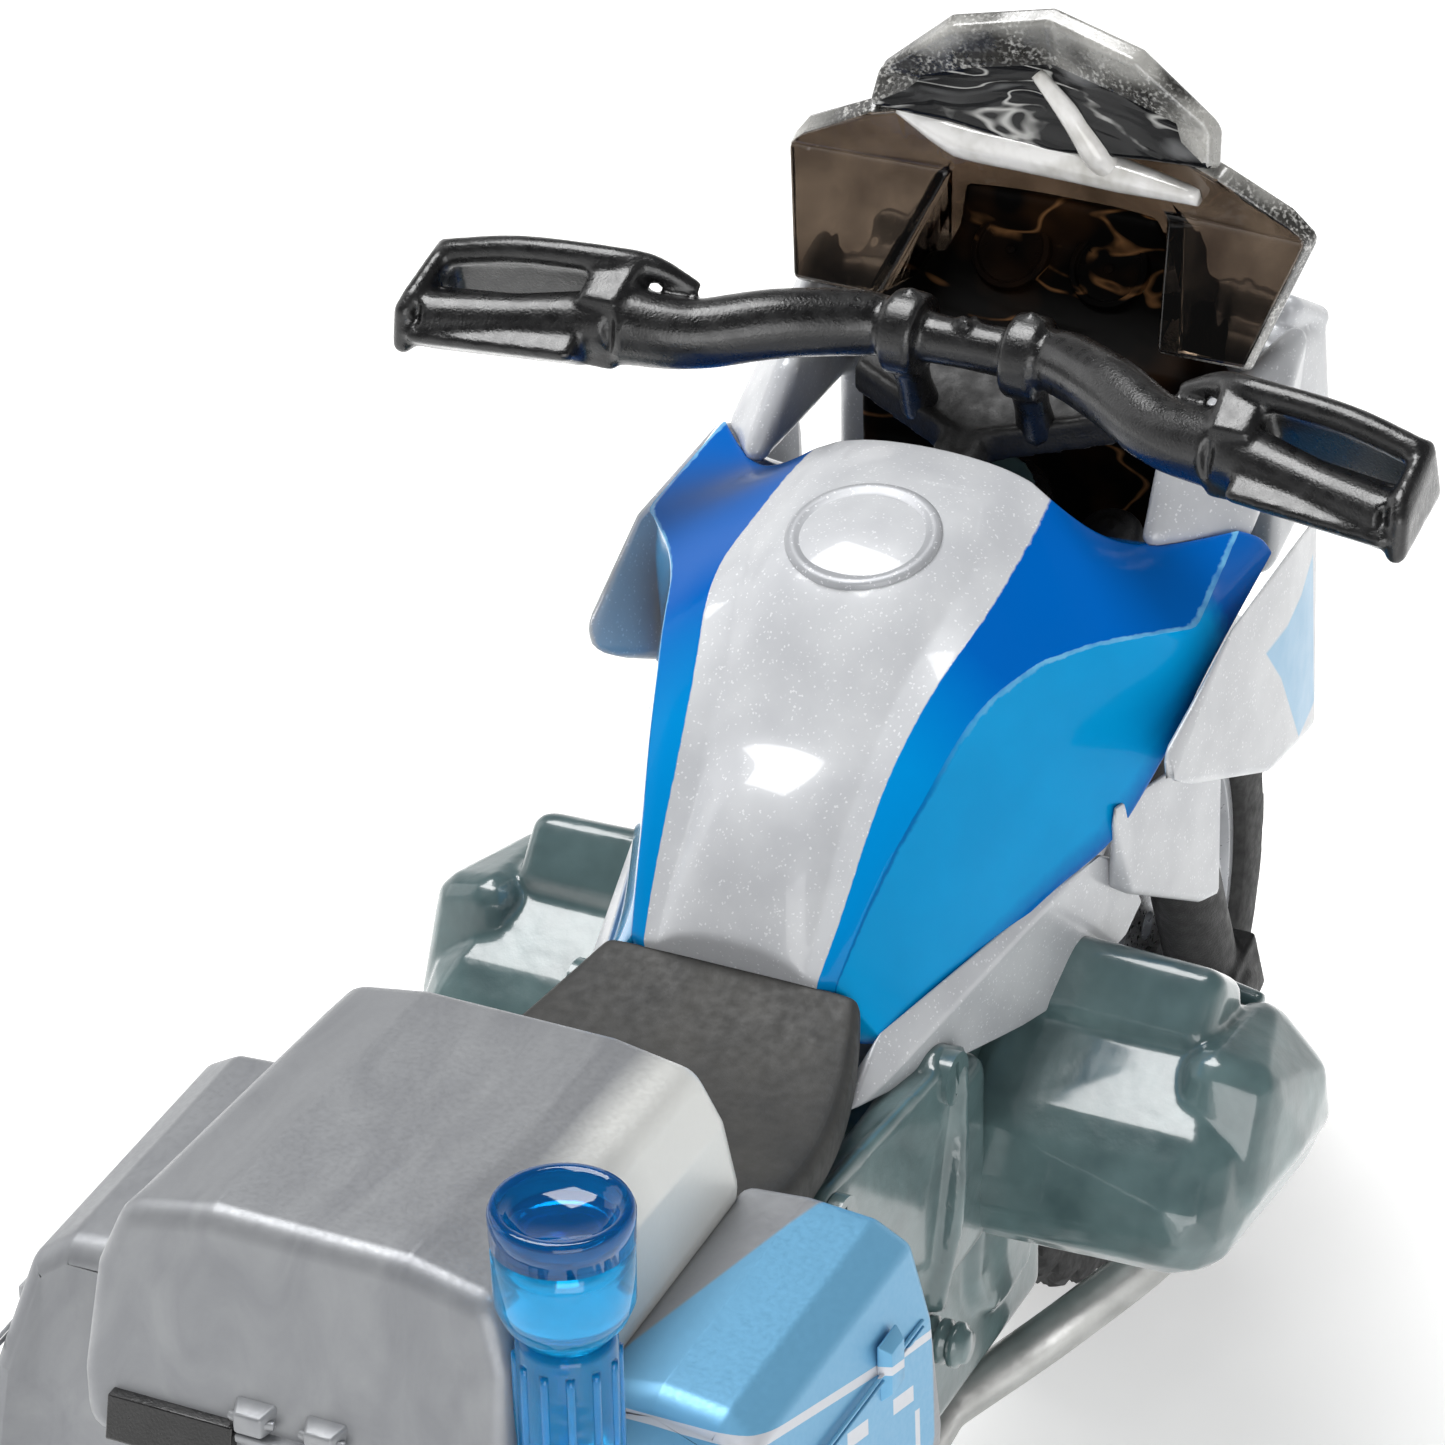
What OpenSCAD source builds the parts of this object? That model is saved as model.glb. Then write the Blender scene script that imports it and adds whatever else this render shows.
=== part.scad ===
// Toy police touring motorcycle: metal engine casting, plastic bodywork, rolling wheels,
// steering front end and folding side stand.  Millimetres, X forward, Y left, Z up,
// ground at Z = 0, origin midway between the front of the front tyre and the back of the rear one.

/* [Wheels] */
// Radius of the front tyre
front_tyre_r = 10.1; // [9.8:0.1:10.3]
// Width of the front tyre
front_tyre_w = 3.7; // [3.2:0.1:3.8]
// Radius of the rear tyre
rear_tyre_r = 9.9; // [9.6:0.1:10.1]
// Width of the rear tyre
rear_tyre_w = 5.2; // [4.6:0.1:5.3]
// Radial depth of both tyres
tyre_depth = 2.4; // [2:0.1:2.8]
// Radius of both axle pins
axle_r = 0.6; // [0.5:0.05:0.7]
// Running gap between an axle and its wheel
running_gap = 0.05; // [0.02:0.01:0.1]
// Number of spokes on each side of a rim
spoke_count = 10; // [8:1:12]

/* [Chassis] */
// Distance from the origin forward to the front axle
front_axle_x = 21.7; // [21.4:0.1:22]
// Lean of the steering axis from upright, in degrees
rake = 22; // [21:0.5:23]
// Distance of the front axle ahead of the steering axis
fork_offset = 0.8; // [0.6:0.1:1]
// Half the distance between the fork legs
fork_leg_y = 3.75; // [3.7:0.05:3.9]
// Radius of a fork leg
fork_leg_r = 1.1; // [1:0.05:1.15]
// Radius of the steering pin
steering_pin_r = 0.75; // [0.6:0.05:0.8]
// Half width of the crankcase
crankcase_y = 4.3; // [4:0.1:4.4]
// Height of the cylinder axis above the ground
cylinder_z = 17.6; // [17.2:0.1:18]
// Overhang of a cylinder from the middle of the toy
cylinder_reach = 13.1; // [12.8:0.1:13.4]

/* [Bodywork] */
// Height of the tank at its filler cap
tank_top_z = 34; // [33.8:0.1:34.2]
// Half width of the tank shoulders
shoulder_y = 8.3; // [8:0.1:8.5]
// Radius of the filler cap
cap_r = 2.05; // [1.8:0.05:2.2]
// Thickness of the windscreen
screen_t = 0.7; // [0.6:0.05:0.9]
// Overhang of a hand guard from the middle of the toy
guard_y = 14.95; // [14.7:0.05:15.2]
// Radius of the handlebar tube
bar_r = 0.9; // [0.8:0.05:1]

/* [Luggage] */
// Front of the top case
case_front_x = -14.6; // [-15:0.1:-14.2]
// Rear of the top case
case_rear_x = -28.4; // [-28.8:0.1:-28]
// Half width of the top case
case_y = 5.7; // [5.4:0.1:5.8]
// Height of the top case lid above the ground
case_top_z = 31.6; // [31.2:0.1:32]
// Length of a pannier
pannier_l = 12.4; // [11.8:0.1:12.6]
// Half width over the panniers
pannier_y = 10.4; // [10:0.1:10.8]
// Height of the pannier lids above the ground
pannier_top_z = 26.6; // [26.2:0.1:26.8]

/* [Hidden] */
$fn = 48;
seam = 0.05;
rear_axle_x = rear_tyre_r - front_axle_x - front_tyre_r;
front_rim_r = front_tyre_r - tyre_depth;
rear_rim_r = rear_tyre_r - tyre_depth;
hub_r = 1.5;
front_hub_y = 2.35;
rear_hub_y = 3.1;
disc_t = 0.3;
front_disc_r = 4.6;
rear_disc_r = 4.2;
arm_y = 3.4;
arm_t = 1.3;
steer_base = [front_axle_x - fork_offset * cos(rake), 0, front_tyre_r - fork_offset * sin(rake)];
lower_bridge_z = 15.2;
upper_bridge_z = 23.2;
bridge_t = 1.5;
head_low = lower_bridge_z + bridge_t + 0.1;
head_high = upper_bridge_z - 0.1;
grip_z = 36.3;
stand_pivot = [-1.8, 5.6, 9.8];
rail_z = 21.9;
rail_y = 4.7;
boss_x = [-1.6, -8.8];
stand_screw_r = 0.45;
beacon_at = [-26.6, -7.1];
beacon_foot_z = 25.4;
beacon_top_z = 34.6;
pannier_front_x = -13.6;

// ---- shared shapes ----

// Places a child on the left (side = 1) or, mirrored, on the right (side = -1).
module on_side(side) {
    if (side > 0)
        children();
    else
        mirror([0, 1, 0]) children();
}

// Places a child on both sides.
module both_sides() {
    children();
    mirror([0, 1, 0]) children();
}

// Local frame of the steering: Z runs up the steering axis, the axle is at X = fork_offset.
module steering_frame() {
    translate(steer_base) rotate([0, -rake, 0]) children();
}

// Rounded solid stretched over a list of points.
module rounded(points, r) {
    hull()
        for (p = points) translate(p) sphere(r, $fn = 16);
}

// Straight round rod between two points.
module rod(a, b, r) {
    d = b - a;
    translate(a)
        rotate([0, acos(d[2] / norm(d)), atan2(d[1], d[0])])
            cylinder(h = norm(d), r = r, $fn = 32);
}

// Smooth tube along a list of points.
module tube(points, r) {
    for (i = [0 : len(points) - 2]) rounded([points[i], points[i + 1]], r);
}

// Closed outline from the left half of a cross-section.
function whole(half) = concat(half, [for (i = [len(half) - 1 : -1 : 0]) [-half[i][0], half[i][1]]]);

// Thin slice across the toy at x.
module slice(x, outline) {
    translate([x, 0, 0]) rotate([90, 0, 90]) linear_extrude(0.02) polygon(outline);
}

// Skin over a list of [x, outline] slices.
module loft(slices) {
    for (i = [0 : len(slices) - 2])
        hull() {
            slice(slices[i][0], slices[i][1]);
            slice(slices[i + 1][0], slices[i + 1][1]);
        }
}

// Ring about a wheel axis.
module ring(outer, inner, width) {
    rotate([90, 0, 0])
        rotate_extrude()
            translate([inner, -width / 2]) square([outer - inner, width]);
}

// ---- wheels ----

module spoked_rim(rim_r, rim_w, hub_half) {
    difference() {
        union() {
            ring(rim_r, rim_r - 0.9, rim_w);
            rotate([90, 0, 0]) cylinder(h = 2 * hub_half, r = hub_r, center = true);
            for (i = [0 : spoke_count - 1])
                rotate([0, i * 360 / spoke_count, 0])
                    translate([hub_r - 0.3, -rim_w * 0.22, -0.4])
                        cube([rim_r - hub_r - 0.3, rim_w * 0.44, 0.8]);
        }
        rotate([90, 0, 0]) cylinder(h = 2 * hub_half + 1, r = axle_r + running_gap, center = true);
    }
}

module tyre(tyre_r, rim_r, width) {
    half = width / 2;
    shoulder = 0.6;
    rotate([90, 0, 0])
        rotate_extrude($fn = 96)
            polygon([
                [rim_r, -half + 0.3], [rim_r + 0.5, -half], [tyre_r - shoulder, -half],
                [tyre_r - 0.18, -half + 0.18], [tyre_r, -half + shoulder], [tyre_r, half - shoulder],
                [tyre_r - 0.18, half - 0.18], [tyre_r - shoulder, half], [rim_r + 0.5, half],
                [rim_r, half - 0.3]
            ]);
}

module at_front_axle() translate([front_axle_x, 0, front_tyre_r]) children();

module at_rear_axle() translate([rear_axle_x, 0, rear_tyre_r]) children();

module front_rim() color("silver")
    at_front_axle() spoked_rim(front_rim_r, front_tyre_w - 0.6, front_hub_y);

module rear_rim() color("silver")
    at_rear_axle() spoked_rim(rear_rim_r, rear_tyre_w - 0.6, rear_hub_y);

module front_tyre() color([0.09, 0.09, 0.1])
    at_front_axle() tyre(front_tyre_r, front_rim_r, front_tyre_w);

module rear_tyre() color([0.09, 0.09, 0.1])
    at_rear_axle() tyre(rear_tyre_r, rear_rim_r, rear_tyre_w);

// Thin disc seated on the hub, its outer face flush with the hub end.
module brake_disc(disc_r, face_y) {
    hole_count = 6;
    difference() {
        translate([0, face_y - disc_t / 2, 0]) ring(disc_r, hub_r, disc_t);
        for (i = [0 : hole_count - 1])
            rotate([0, i * 360 / hole_count, 0])
                translate([(disc_r + hub_r) / 2, face_y, 0])
                    rotate([90, 0, 0]) cylinder(h = 3, r = 0.45, center = true, $fn = 24);
    }
}

module front_brake_discs() color([0.6, 0.6, 0.62])
    at_front_axle() both_sides() brake_disc(front_disc_r, front_hub_y);

module rear_brake_disc() color([0.6, 0.6, 0.62])
    at_rear_axle() brake_disc(rear_disc_r, rear_hub_y);

module front_axle() color([0.7, 0.7, 0.72])
    at_front_axle() rotate([90, 0, 0])
        cylinder(h = 2 * (fork_leg_y + fork_leg_r) + 0.3, r = axle_r, center = true);

module rear_axle() color([0.7, 0.7, 0.72])
    at_rear_axle() rotate([90, 0, 0])
        cylinder(h = 2 * (arm_y + arm_t) + 0.4, r = axle_r, center = true);

// ---- steering ----

// Three-sided plate that ties the two legs to the steering pin, pointed to the rear.
module bridge(z) {
    reach = fork_leg_y + 1.1;
    translate([0, 0, z])
        linear_extrude(bridge_t)
            polygon([
                [fork_offset + 1.3, -reach], [fork_offset + 1.3, reach], [fork_offset - 1.1, reach],
                [-1.9, 1.2], [-1.9, -1.2], [fork_offset - 1.1, -reach]
            ]);
}

module fork() color([0.1, 0.1, 0.11]) {
    difference() {
        steering_frame() {
            both_sides()
                translate([fork_offset, fork_leg_y, 0]) {
                    translate([0, 0, 0.5]) cylinder(h = upper_bridge_z, r = fork_leg_r - 0.2);
                    translate([0, 0, -0.9]) cylinder(h = 11.5, r = fork_leg_r);
                    translate([-1.3, -fork_leg_r - 0.1, -1.3]) cube([2.6, 2 * fork_leg_r + 0.2, 2.6]);
                }
            bridge(lower_bridge_z);
            bridge(upper_bridge_z);
        }
        at_front_axle() rotate([90, 0, 0]) cylinder(h = 14, r = axle_r, center = true);
        steering_frame() translate([0, 0, 10]) cylinder(h = 20, r = steering_pin_r);
    }
}

module steering_pin() color([0.65, 0.65, 0.67])
    steering_frame() {
        translate([0, 0, lower_bridge_z]) cylinder(h = upper_bridge_z + bridge_t - lower_bridge_z, r = steering_pin_r);
        translate([0, 0, lower_bridge_z - 0.5]) cylinder(h = 0.5, r = 1.2);
    }

// Clamp, sweep, collar and grip of one half of the bar, from the middle outwards.
bar_path = [
    [12.3, 0, 36], [12.3, 2.6, 36], [11.2, 4.6, 36.4], [9.2, 6.9, 36.2],
    [8.6, 9.2, grip_z + 0.3], [7.4, guard_y - bar_r, grip_z]
];

module bar_half() {
    tube(bar_path, bar_r);
    translate([12.3, 1.8, 36]) rotate([90, 0, 0]) cylinder(h = 1.1, r = bar_r + 0.3, center = true);
    rod([8.7, 8.6, grip_z + 0.2], [8.4, 10, grip_z + 0.3], bar_r + 0.5);
    rounded([[9.3, 9.3, 38], [10, 9.3, 36.2], [9.2, guard_y - 0.3, 37.4], [9.6, guard_y - 0.3, 35.8]], 0.3);
    rounded([[9.2, guard_y - 0.3, 37.4], [9.5, guard_y - 0.3, 35.8], [6.8, guard_y - 0.3, 35.7],
        [7.2, guard_y - 0.3, 37]], 0.3);
}

// Short posts that carry the bar on the upper bridge.
module bar_posts() {
    top = upper_bridge_z + bridge_t;
    steering_frame()
        both_sides()
            translate([1.5, 1.8, top]) cylinder(h = 2.7, r = 0.8, $fn = 32);
}

module handlebar() color([0.08, 0.08, 0.09]) {
    both_sides() bar_half();
    bar_posts();
}

module front_mudguard() color([0.72, 0.73, 0.74]) {
    inner = front_tyre_r + 0.5;
    outer = inner + 0.6;
    half = 2.45;
    at_front_axle()
        rotate([90, 0, 0]) {
            rotate([0, 0, 38]) rotate_extrude(angle = 92)
                translate([inner, -half]) square([outer - inner, 2 * half]);
            for (z = [-half, half - 0.4])
                translate([0, 0, z]) rotate([0, 0, 60]) rotate_extrude(angle = 50)
                    translate([inner - 2.6, 0]) square([2.8, 0.4]);
        }
}

// ---- chassis ----

// Crankcase, head tube and frame rails cast in one.
module engine_casting() color([0.3, 0.37, 0.38])
    difference() {
        union() {
            rounded([for (x = [-2.6, 7.2], y = [-crankcase_y + 0.8, crankcase_y - 0.8], z = [9, 20.4])
                [x, y, z]], 0.8);
            rounded([[9, 1.4, 11], [9, -1.4, 11], [8.2, 1.4, 19], [8.2, -1.4, 19], [6, 2.6, 10], [6, -2.6, 10]], 0.8);
            rounded([[5.4, 0, 20], [8.6, 0, 20], [9.6, 0, 26.6], [11.6, 0, 26.2]], 1.1);
            steering_frame() translate([0, 0, head_low]) cylinder(h = head_high - head_low, r = 1.9);
            both_sides() {
                rod([boss_x[0], rail_y, rail_z], [boss_x[1], rail_y, rail_z], 0.55);
                rod([boss_x[0], rail_y, rail_z], [boss_x[0], 3.6, 19], 0.55);
                rod([boss_x[1], rail_y, rail_z], [-2, 3.6, 14.5], 0.55);
                rod([boss_x[1], rail_y, rail_z], [-27, 3.2, 24], 0.5);
                for (x = boss_x)
                    translate([x, 5.3, rail_z]) rotate([90, 0, 0]) cylinder(h = 1.3, r = 0.85);
                translate([-4.2, 4.3, 12.9]) cube([1.5, 1, 6.4]);
                translate([-4.2, 3.4, 12.9]) cube([2.2, 1.2, 1.6]);
            }
            translate([-25.6, -3.6, 23.6]) cube([0.9, 7.2, 0.8]);
        }
        steering_frame() translate([0, 0, head_low - 2]) cylinder(h = 12, r = steering_pin_r + running_gap);
        both_sides()
            for (x = boss_x)
                translate([x, 6, rail_z]) rotate([90, 0, 0]) cylinder(h = 1.6, r = 0.45, $fn = 24);
        translate([stand_pivot[0], 8, stand_pivot[2]]) rotate([90, 0, 0]) cylinder(h = 6, r = stand_screw_r);
    }

module chassis_screws() color([0.55, 0.56, 0.58])
    both_sides()
        for (x = boss_x)
            translate([x, 0, rail_z]) rotate([-90, 0, 0]) {
                translate([0, 0, 4.4]) cylinder(h = 0.9, r = 0.45, $fn = 24);
                difference() {
                    translate([0, 0, 5.3]) cylinder(h = 0.4, r = 0.75, $fn = 24);
                    translate([-0.1, -0.5, 5.5]) cube([0.2, 1, 0.5]);
                }
            }

// Boxer cylinder with its rocker cover, spark plug cover and intake lobe.
module cylinder_unit(side) color([0.3, 0.37, 0.38])
    on_side(side) {
        face = crankcase_y + seam;
        tip = cylinder_reach;
        rounded([for (x = [3, 7.6], y = [face + 1.2, 8.6], z = [cylinder_z - 2.4, cylinder_z + 2])
            [x, y, z]], 1.2);
        rounded([[2.2, 8.8, 15.6], [8.4, 8.8, 15.2], [8, 8.8, 19.9], [3.4, 8.8, 20.6],
            [3.2, tip - 1.6, 15.8], [7.8, tip - 1.4, 15.6], [7.4, tip - 1.4, 18.6], [4, tip - 1.8, 19.2]], 1.3);
        rounded([[3.4, 6.4, 21], [6.8, 6.4, 21], [3.8, tip - 2.8, 20.9], [6.6, tip - 2.8, 20.9]], 1);
    }

module left_cylinder() cylinder_unit(1);

module right_cylinder() cylinder_unit(-1);

module swingarm() color([0.3, 0.37, 0.38])
    difference() {
        union() {
            both_sides()
                translate([rear_axle_x, arm_y, rear_tyre_r]) rotate([-90, 0, 0]) cylinder(h = arm_t, r = 2.2);
            translate([rear_axle_x, arm_y, rear_tyre_r - 1]) cube([-rear_axle_x - 5, arm_t, 2]);
            translate([rear_axle_x, -arm_y - arm_t, rear_tyre_r - 1.3]) cube([-rear_axle_x - 5, arm_t, 2.6]);
            translate([-7, -arm_y - arm_t, rear_tyre_r - 1.3])
                cube([7 - 2.6 - 0.8 - seam, 2 * (arm_y + arm_t), 2.6]);
        }
        at_rear_axle() rotate([90, 0, 0]) cylinder(h = 14, r = axle_r, center = true);
    }

module foot_pegs() color([0.3, 0.37, 0.38])
    both_sides()
        translate([-3.5, 0, 14.6]) rotate([-90, 0, 0]) {
            translate([0, 0, 5.3 + seam]) cylinder(h = 2.4, r = 0.55, $fn = 24);
            translate([0, 0, 5.6 + seam]) cylinder(h = 1.8, r = 0.75, $fn = 24);
        }

module stand_screw() color([0.55, 0.56, 0.58])
    translate([stand_pivot[0], 0, stand_pivot[2]]) rotate([-90, 0, 0]) {
        translate([0, 0, 2.4]) cylinder(h = 4.5, r = stand_screw_r - 0.02);
        translate([0, 0, 6.9]) cylinder(h = 0.4, r = 0.9);
    }

// Leg, pivot eye and flat foot; it stands on the ground beside the left cylinder.
module side_stand() color([0.12, 0.12, 0.13]) {
    foot = [-1, 9.4, 0.7];
    difference() {
        union() {
            translate(stand_pivot) rotate([90, 0, 0]) cylinder(h = 1.4, r = 1.3, center = true);
            rod(stand_pivot + [0.1, 0.1, -0.4], foot, 0.55);
            translate([foot[0] - 1.4, foot[1] - 0.9, 0]) cube([2.8, 1.8, 0.8]);
        }
        translate([stand_pivot[0], 9, stand_pivot[2]]) rotate([90, 0, 0]) cylinder(h = 6, r = stand_screw_r + running_gap);
    }
}

// ---- bodywork ----

// Left half cross-sections of the tank: crown, band edge, shoulder, flank and base.
tank_slices = [
    [-3.6, whole([[0, 26.1], [2.5, 25.4], [3.6, 24.4], [4.1, 23.6], [3.4, 22.9]])],
    [-1.3, whole([[0, 29.4], [2.8, 28.3], [5, 25.6], [5.4, 24.6], [3.4, 22.9]])],
    [0.2, whole([[0, 30.3], [3, 29.9], [6, 26.4], [6.3, 25.3], [3.4, 23]])],
    [2.9, whole([[0, 33], [3.7, 32], [7.6, 27.8], [7.8, 26.6], [3.4, 23.2]])],
    [5, whole([[0, tank_top_z], [3.9, 32.6], [8, 28.8], [8.1, 27.6], [3.4, 23.4]])],
    [8.8, whole([[0, tank_top_z + 0.1], [3.4, 33.4], [shoulder_y, 30.7], [shoulder_y, 29.6], [3.4, 27.8]])],
    [9.9, whole([[0, tank_top_z - 0.3], [3.6, 33], [shoulder_y, 30.8], [shoulder_y, 29.6], [3.4, 30.4]])]
];

// Front corner of the tank flank, below the fairing arm.
module horn() rounded([[9.8, 6, 31], [9.8, 7.9, 30.2], [14.2, 7.8, 29.8], [12, 7, 30.3]], 0.35);

module tank_shell() color([0.75, 0.76, 0.77])
    difference() {
        union() {
            loft(tank_slices);
            both_sides()
                horn();
        }
        translate([0, 0, 22.8]) rotate([0, -38, 0]) translate([0, -2.4, -3]) cube([10.6, 4.8, 5.2]);
        at_cap() cylinder(h = 3, r = cap_r);
        steering_frame() translate([0, 0, head_low - 1]) cylinder(h = 12, r = 2.6);
    }

// Seat of the filler cap, tipped back with the slope of the tank.
module at_cap() translate([5.3, 0, tank_top_z - 1]) rotate([0, -14, 0]) children();

module filler_cap() color([0.75, 0.76, 0.77])
    at_cap() {
        cylinder(h = 0.8, r = cap_r);
        cylinder(h = 1, r = cap_r - 0.35);
    }

// Silver wedge below the tank flank, above the frame rail.
module side_cover(side) color([0.75, 0.76, 0.77])
    on_side(side)
        difference() {
            rounded([[-6.6, 5.2, 23.5], [-3.2, 4.6, 23.9], [-0.5, 6, 25], [2.8, 8, 26.2],
                [5.2, 8.5, 24], [4.4, 7.6, 23.5], [-2, 5.6, 23.5]], 0.3);
            loft([for (s = tank_slices) [s[0], s[1]]]);
            seat_solid(0.1);
        }

module left_side_cover() side_cover(1);

module right_side_cover() side_cover(-1);

// Radiator shroud with the set-back lower cover moulded on.
module shroud(side) color([0.75, 0.76, 0.77])
    on_side(side)
        difference() {
            union() {
                rounded([[6.3, 8.6, 27.6], [9.4, 8.9, 30.2], [14.6, 8.8, 30.2], [18.6, 8, 28.6],
                    [17.6, 8.4, 21.6], [12, 9.2, 24], [16, 7.4, 22.4], [9.6, 7.6, 26]], 0.35);
                rounded([[5.6, 7, 26.4], [7.6, 7.2, 23], [12.4, 7.2, 19.9], [13.4, 7.2, 24.6]], 0.35);
            }
            loft(tank_slices);
            horn();
            rounded([[-6.6, 5.2, 23.5], [-3.2, 4.6, 23.9], [-0.5, 6, 25], [2.8, 8, 26.2],
                [5.2, 8.5, 24], [4.4, 7.6, 23.5], [-2, 5.6, 23.5]], 0.3);
        }

module left_shroud() shroud(1);

module right_shroud() shroud(-1);

// Nose with two arms that reach back beside the head tube.
module front_fairing() color([0.75, 0.76, 0.77])
    difference() {
        union() {
            rounded([for (y = [-1, 1]) each [[19.6, 6.2 * y, 27.4], [19.8, 6 * y, 33.4], [22.4, 5.8 * y, 32.6],
                [22.8, 5.8 * y, 28.6], [24.4, 3.2 * y, 29.6], [22.4, 3.6 * y, 26.6]]], 0.8);
            both_sides()
                rounded([[11.4, 6.2, 32], [13, 6.1, 33.6], [13.6, 7.5, 31.4], [18.6, 7.1, 34.4],
                    [19.8, 6.5, 31.4], [18.4, 6.7, 31]], 0.4);
        }
        translate([23.6, 0, 30]) rotate([0, 80, 0]) cylinder(h = 4, r = 2.5);
    }

module headlight_lens() color([0.9, 0.93, 0.95, 0.6])
    translate([23.65, 0, 30]) rotate([0, 80, 0]) {
        cylinder(h = 1.5, r = 2.45);
        translate([0, 0, 1.5]) cylinder(h = 0.3, r = 2.1);
    }

module instrument_panel() color([0.1, 0.1, 0.11]) {
    rounded([for (y = [-3.4, 3.4]) each [[19.4, y, 34.9], [17.6, y, 35.2], [19.2, y, 36.4]]], 0.35);
}

// Smoked screen: middle panel, two folded side wings and the raised lip on top.
module windscreen() color([0.3, 0.24, 0.2, 0.5]) {
    t = screen_t / 2;
    base = [20.9, 4.2, 35.2];
    top = [18.9, 3.6, 41.6];
    rounded([for (y = [-1, 1]) each [[base[0], y * base[1], base[2]], [top[0], y * top[1], top[2]]]], t);
    both_sides() {
        rounded([base, top, [17.9, 7.2, 38.8], [18.3, 7.7, 38]], t);
        rounded([base, [18.3, 7.7, 38], [16.2, 6.8, 35.6], [19.6, 6.6, 35.4]], t);
    }
    rounded([for (y = [-1, 1]) each [[17.9, 5 * y, 40.2], [17.8, 2.9 * y, 42.6], [18, 0, 43.3],
        [18.9, 3.6 * y, 41.4]]], t);
}

// Seat pad; grow widens it for the clearance cut in the covers.
module seat_solid(grow) {
    g = grow;
    loft([
        [-3.6 - seam + g, whole([[0, 25.2 + g], [2.6 + g, 25.1 + g], [3.7 + g, 23.8 + g], [3.7 + g, 23]])],
        [-6.4, whole([[0, 24.6 + g], [3.8 + g, 24.4 + g], [5 + g, 23.6 + g], [5 + g, 23]])],
        [-9.4, whole([[0, 24.1 + g], [4.6 + g, 24.1 + g], [5.5 + g, 23.4 + g], [5.5 + g, 23]])],
        [-16.4, whole([[0, 25.1 + g], [4.4 + g, 25 + g], [5.2 + g, 24.4 + g], [5.2 + g, 23.9]])]
    ]);
}

module seat() color([0.27, 0.27, 0.28])
    seat_solid(0);

// ---- luggage ----

module luggage_rack() color([0.13, 0.13, 0.14]) {
    translate([-27.4, -4.6, 24.9]) cube([10.6, 9.2, 0.5]);
    translate([beacon_at[0] - 1.3, beacon_at[1] - 1.3, 24.9]) cube([2.6, -beacon_at[1] - 2.7, 0.5]);
    both_sides() {
        translate([-26.2, 3.9, 24.5]) cube([1, 0.7, 0.4]);
        translate([-18.4, 5.1, 23.1]) cube([1, 0.6, 2.3]);
        translate([-18.4, 4.5, 24.9]) cube([1, 1.2, 0.5]);
        translate([-24.4, 4.5, 24.9]) cube([1, 1.2, 0.5]);
        translate([-24.4, 5.1, 23.1]) cube([1, 0.6, 2.3]);
    }
}

module top_case() color([0.62, 0.63, 0.65]) {
    low = 25.4 + seam;
    rounded([for (y = [-1, 1]) each [
        [case_front_x - 0.9, (case_y - 1) * y, low + 0.9],
        [case_rear_x + 0.9, (case_y - 1) * y, low + 0.9],
        [case_front_x - 1.8, (case_y - 1.6) * y, case_top_z - 1.4],
        [case_rear_x + 2.1, (case_y - 1.5) * y, case_top_z - 0.9]
    ]], 0.9);
}

module pannier(side) color([0.62, 0.63, 0.65])
    on_side(side) {
        front = pannier_front_x - 0.8;
        rear = pannier_front_x - pannier_l + 0.8;
        top = pannier_top_z - 0.8;
        outer = pannier_y - 0.8;
        rounded([
            [front, 6.7, top], [rear + 2.9, 6.7, top], [front, outer - 0.5, top - 0.2],
            [rear + 2.9, outer - 0.5, top - 0.3], [front - 0.4, outer, 20], [rear + 0.5, outer, 20],
            [front - 0.8, 6.7, 15.4], [rear, 6.7, 15.4], [front - 0.8, outer - 0.7, 15.6], [rear, outer - 0.7, 15.6]
        ], 0.8);
    }

module left_pannier() pannier(1);

module right_pannier() pannier(-1);

module beacon_pole() color([0.1, 0.35, 0.75, 0.8])
    translate([beacon_at[0], beacon_at[1], beacon_foot_z]) {
        cylinder(h = 0.5, r = 1.3);
        cylinder(h = beacon_top_z - 3.6 - beacon_foot_z, r = 1.2);
    }

module beacon_lens() color([0.05, 0.35, 0.85, 0.7])
    translate([beacon_at[0], beacon_at[1], beacon_top_z - 3.6 + seam]) {
        cylinder(h = 0.6, r = 1.3);
        translate([0, 0, 0.6]) cylinder(h = 2.9, r = 1.75);
    }

module rear_mudguard() color([0.12, 0.12, 0.13]) {
    inner = rear_tyre_r + 0.7;
    at_rear_axle()
        rotate([90, 0, 0]) rotate([0, 0, 72]) rotate_extrude(angle = 74)
            translate([inner, -2.9]) square([0.6, 5.8]);
    translate([rear_axle_x - 3.6, -1.6, rear_tyre_r + 10.6]) cube([1.2, 3.2, 3.1]);
}

module tail_light() color([0.7, 0.05, 0.05])
    translate([-28.9, -1.9, 22.2]) cube([1.6, 3.8, 1.6]);

module exhaust_header() color([0.7, 0.7, 0.7]) {
    both_sides() tube([[7.2, 8.6, 12.9], [7.6, 8.2, 11.2], [6.2, 5.6, 8.2], [3, 3.2, 6.8]], 0.75);
    tube([[3, 3.2, 6.8], [-2, -3.2, 6.8], [-4.6, -6.2, 8.2]], 0.75);
    tube([[3, -3.2, 6.8], [-2, -3.2, 6.8]], 0.75);
}

module exhaust_silencer() color([0.72, 0.73, 0.74]) {
    rod([-5.2, -6.6, 8.6], [-21.6, -7.2, 12.8], 1.9);
    rod([-21.6, -7.2, 12.8], [-22.8, -7.25, 13.1], 1.4);
}

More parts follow.
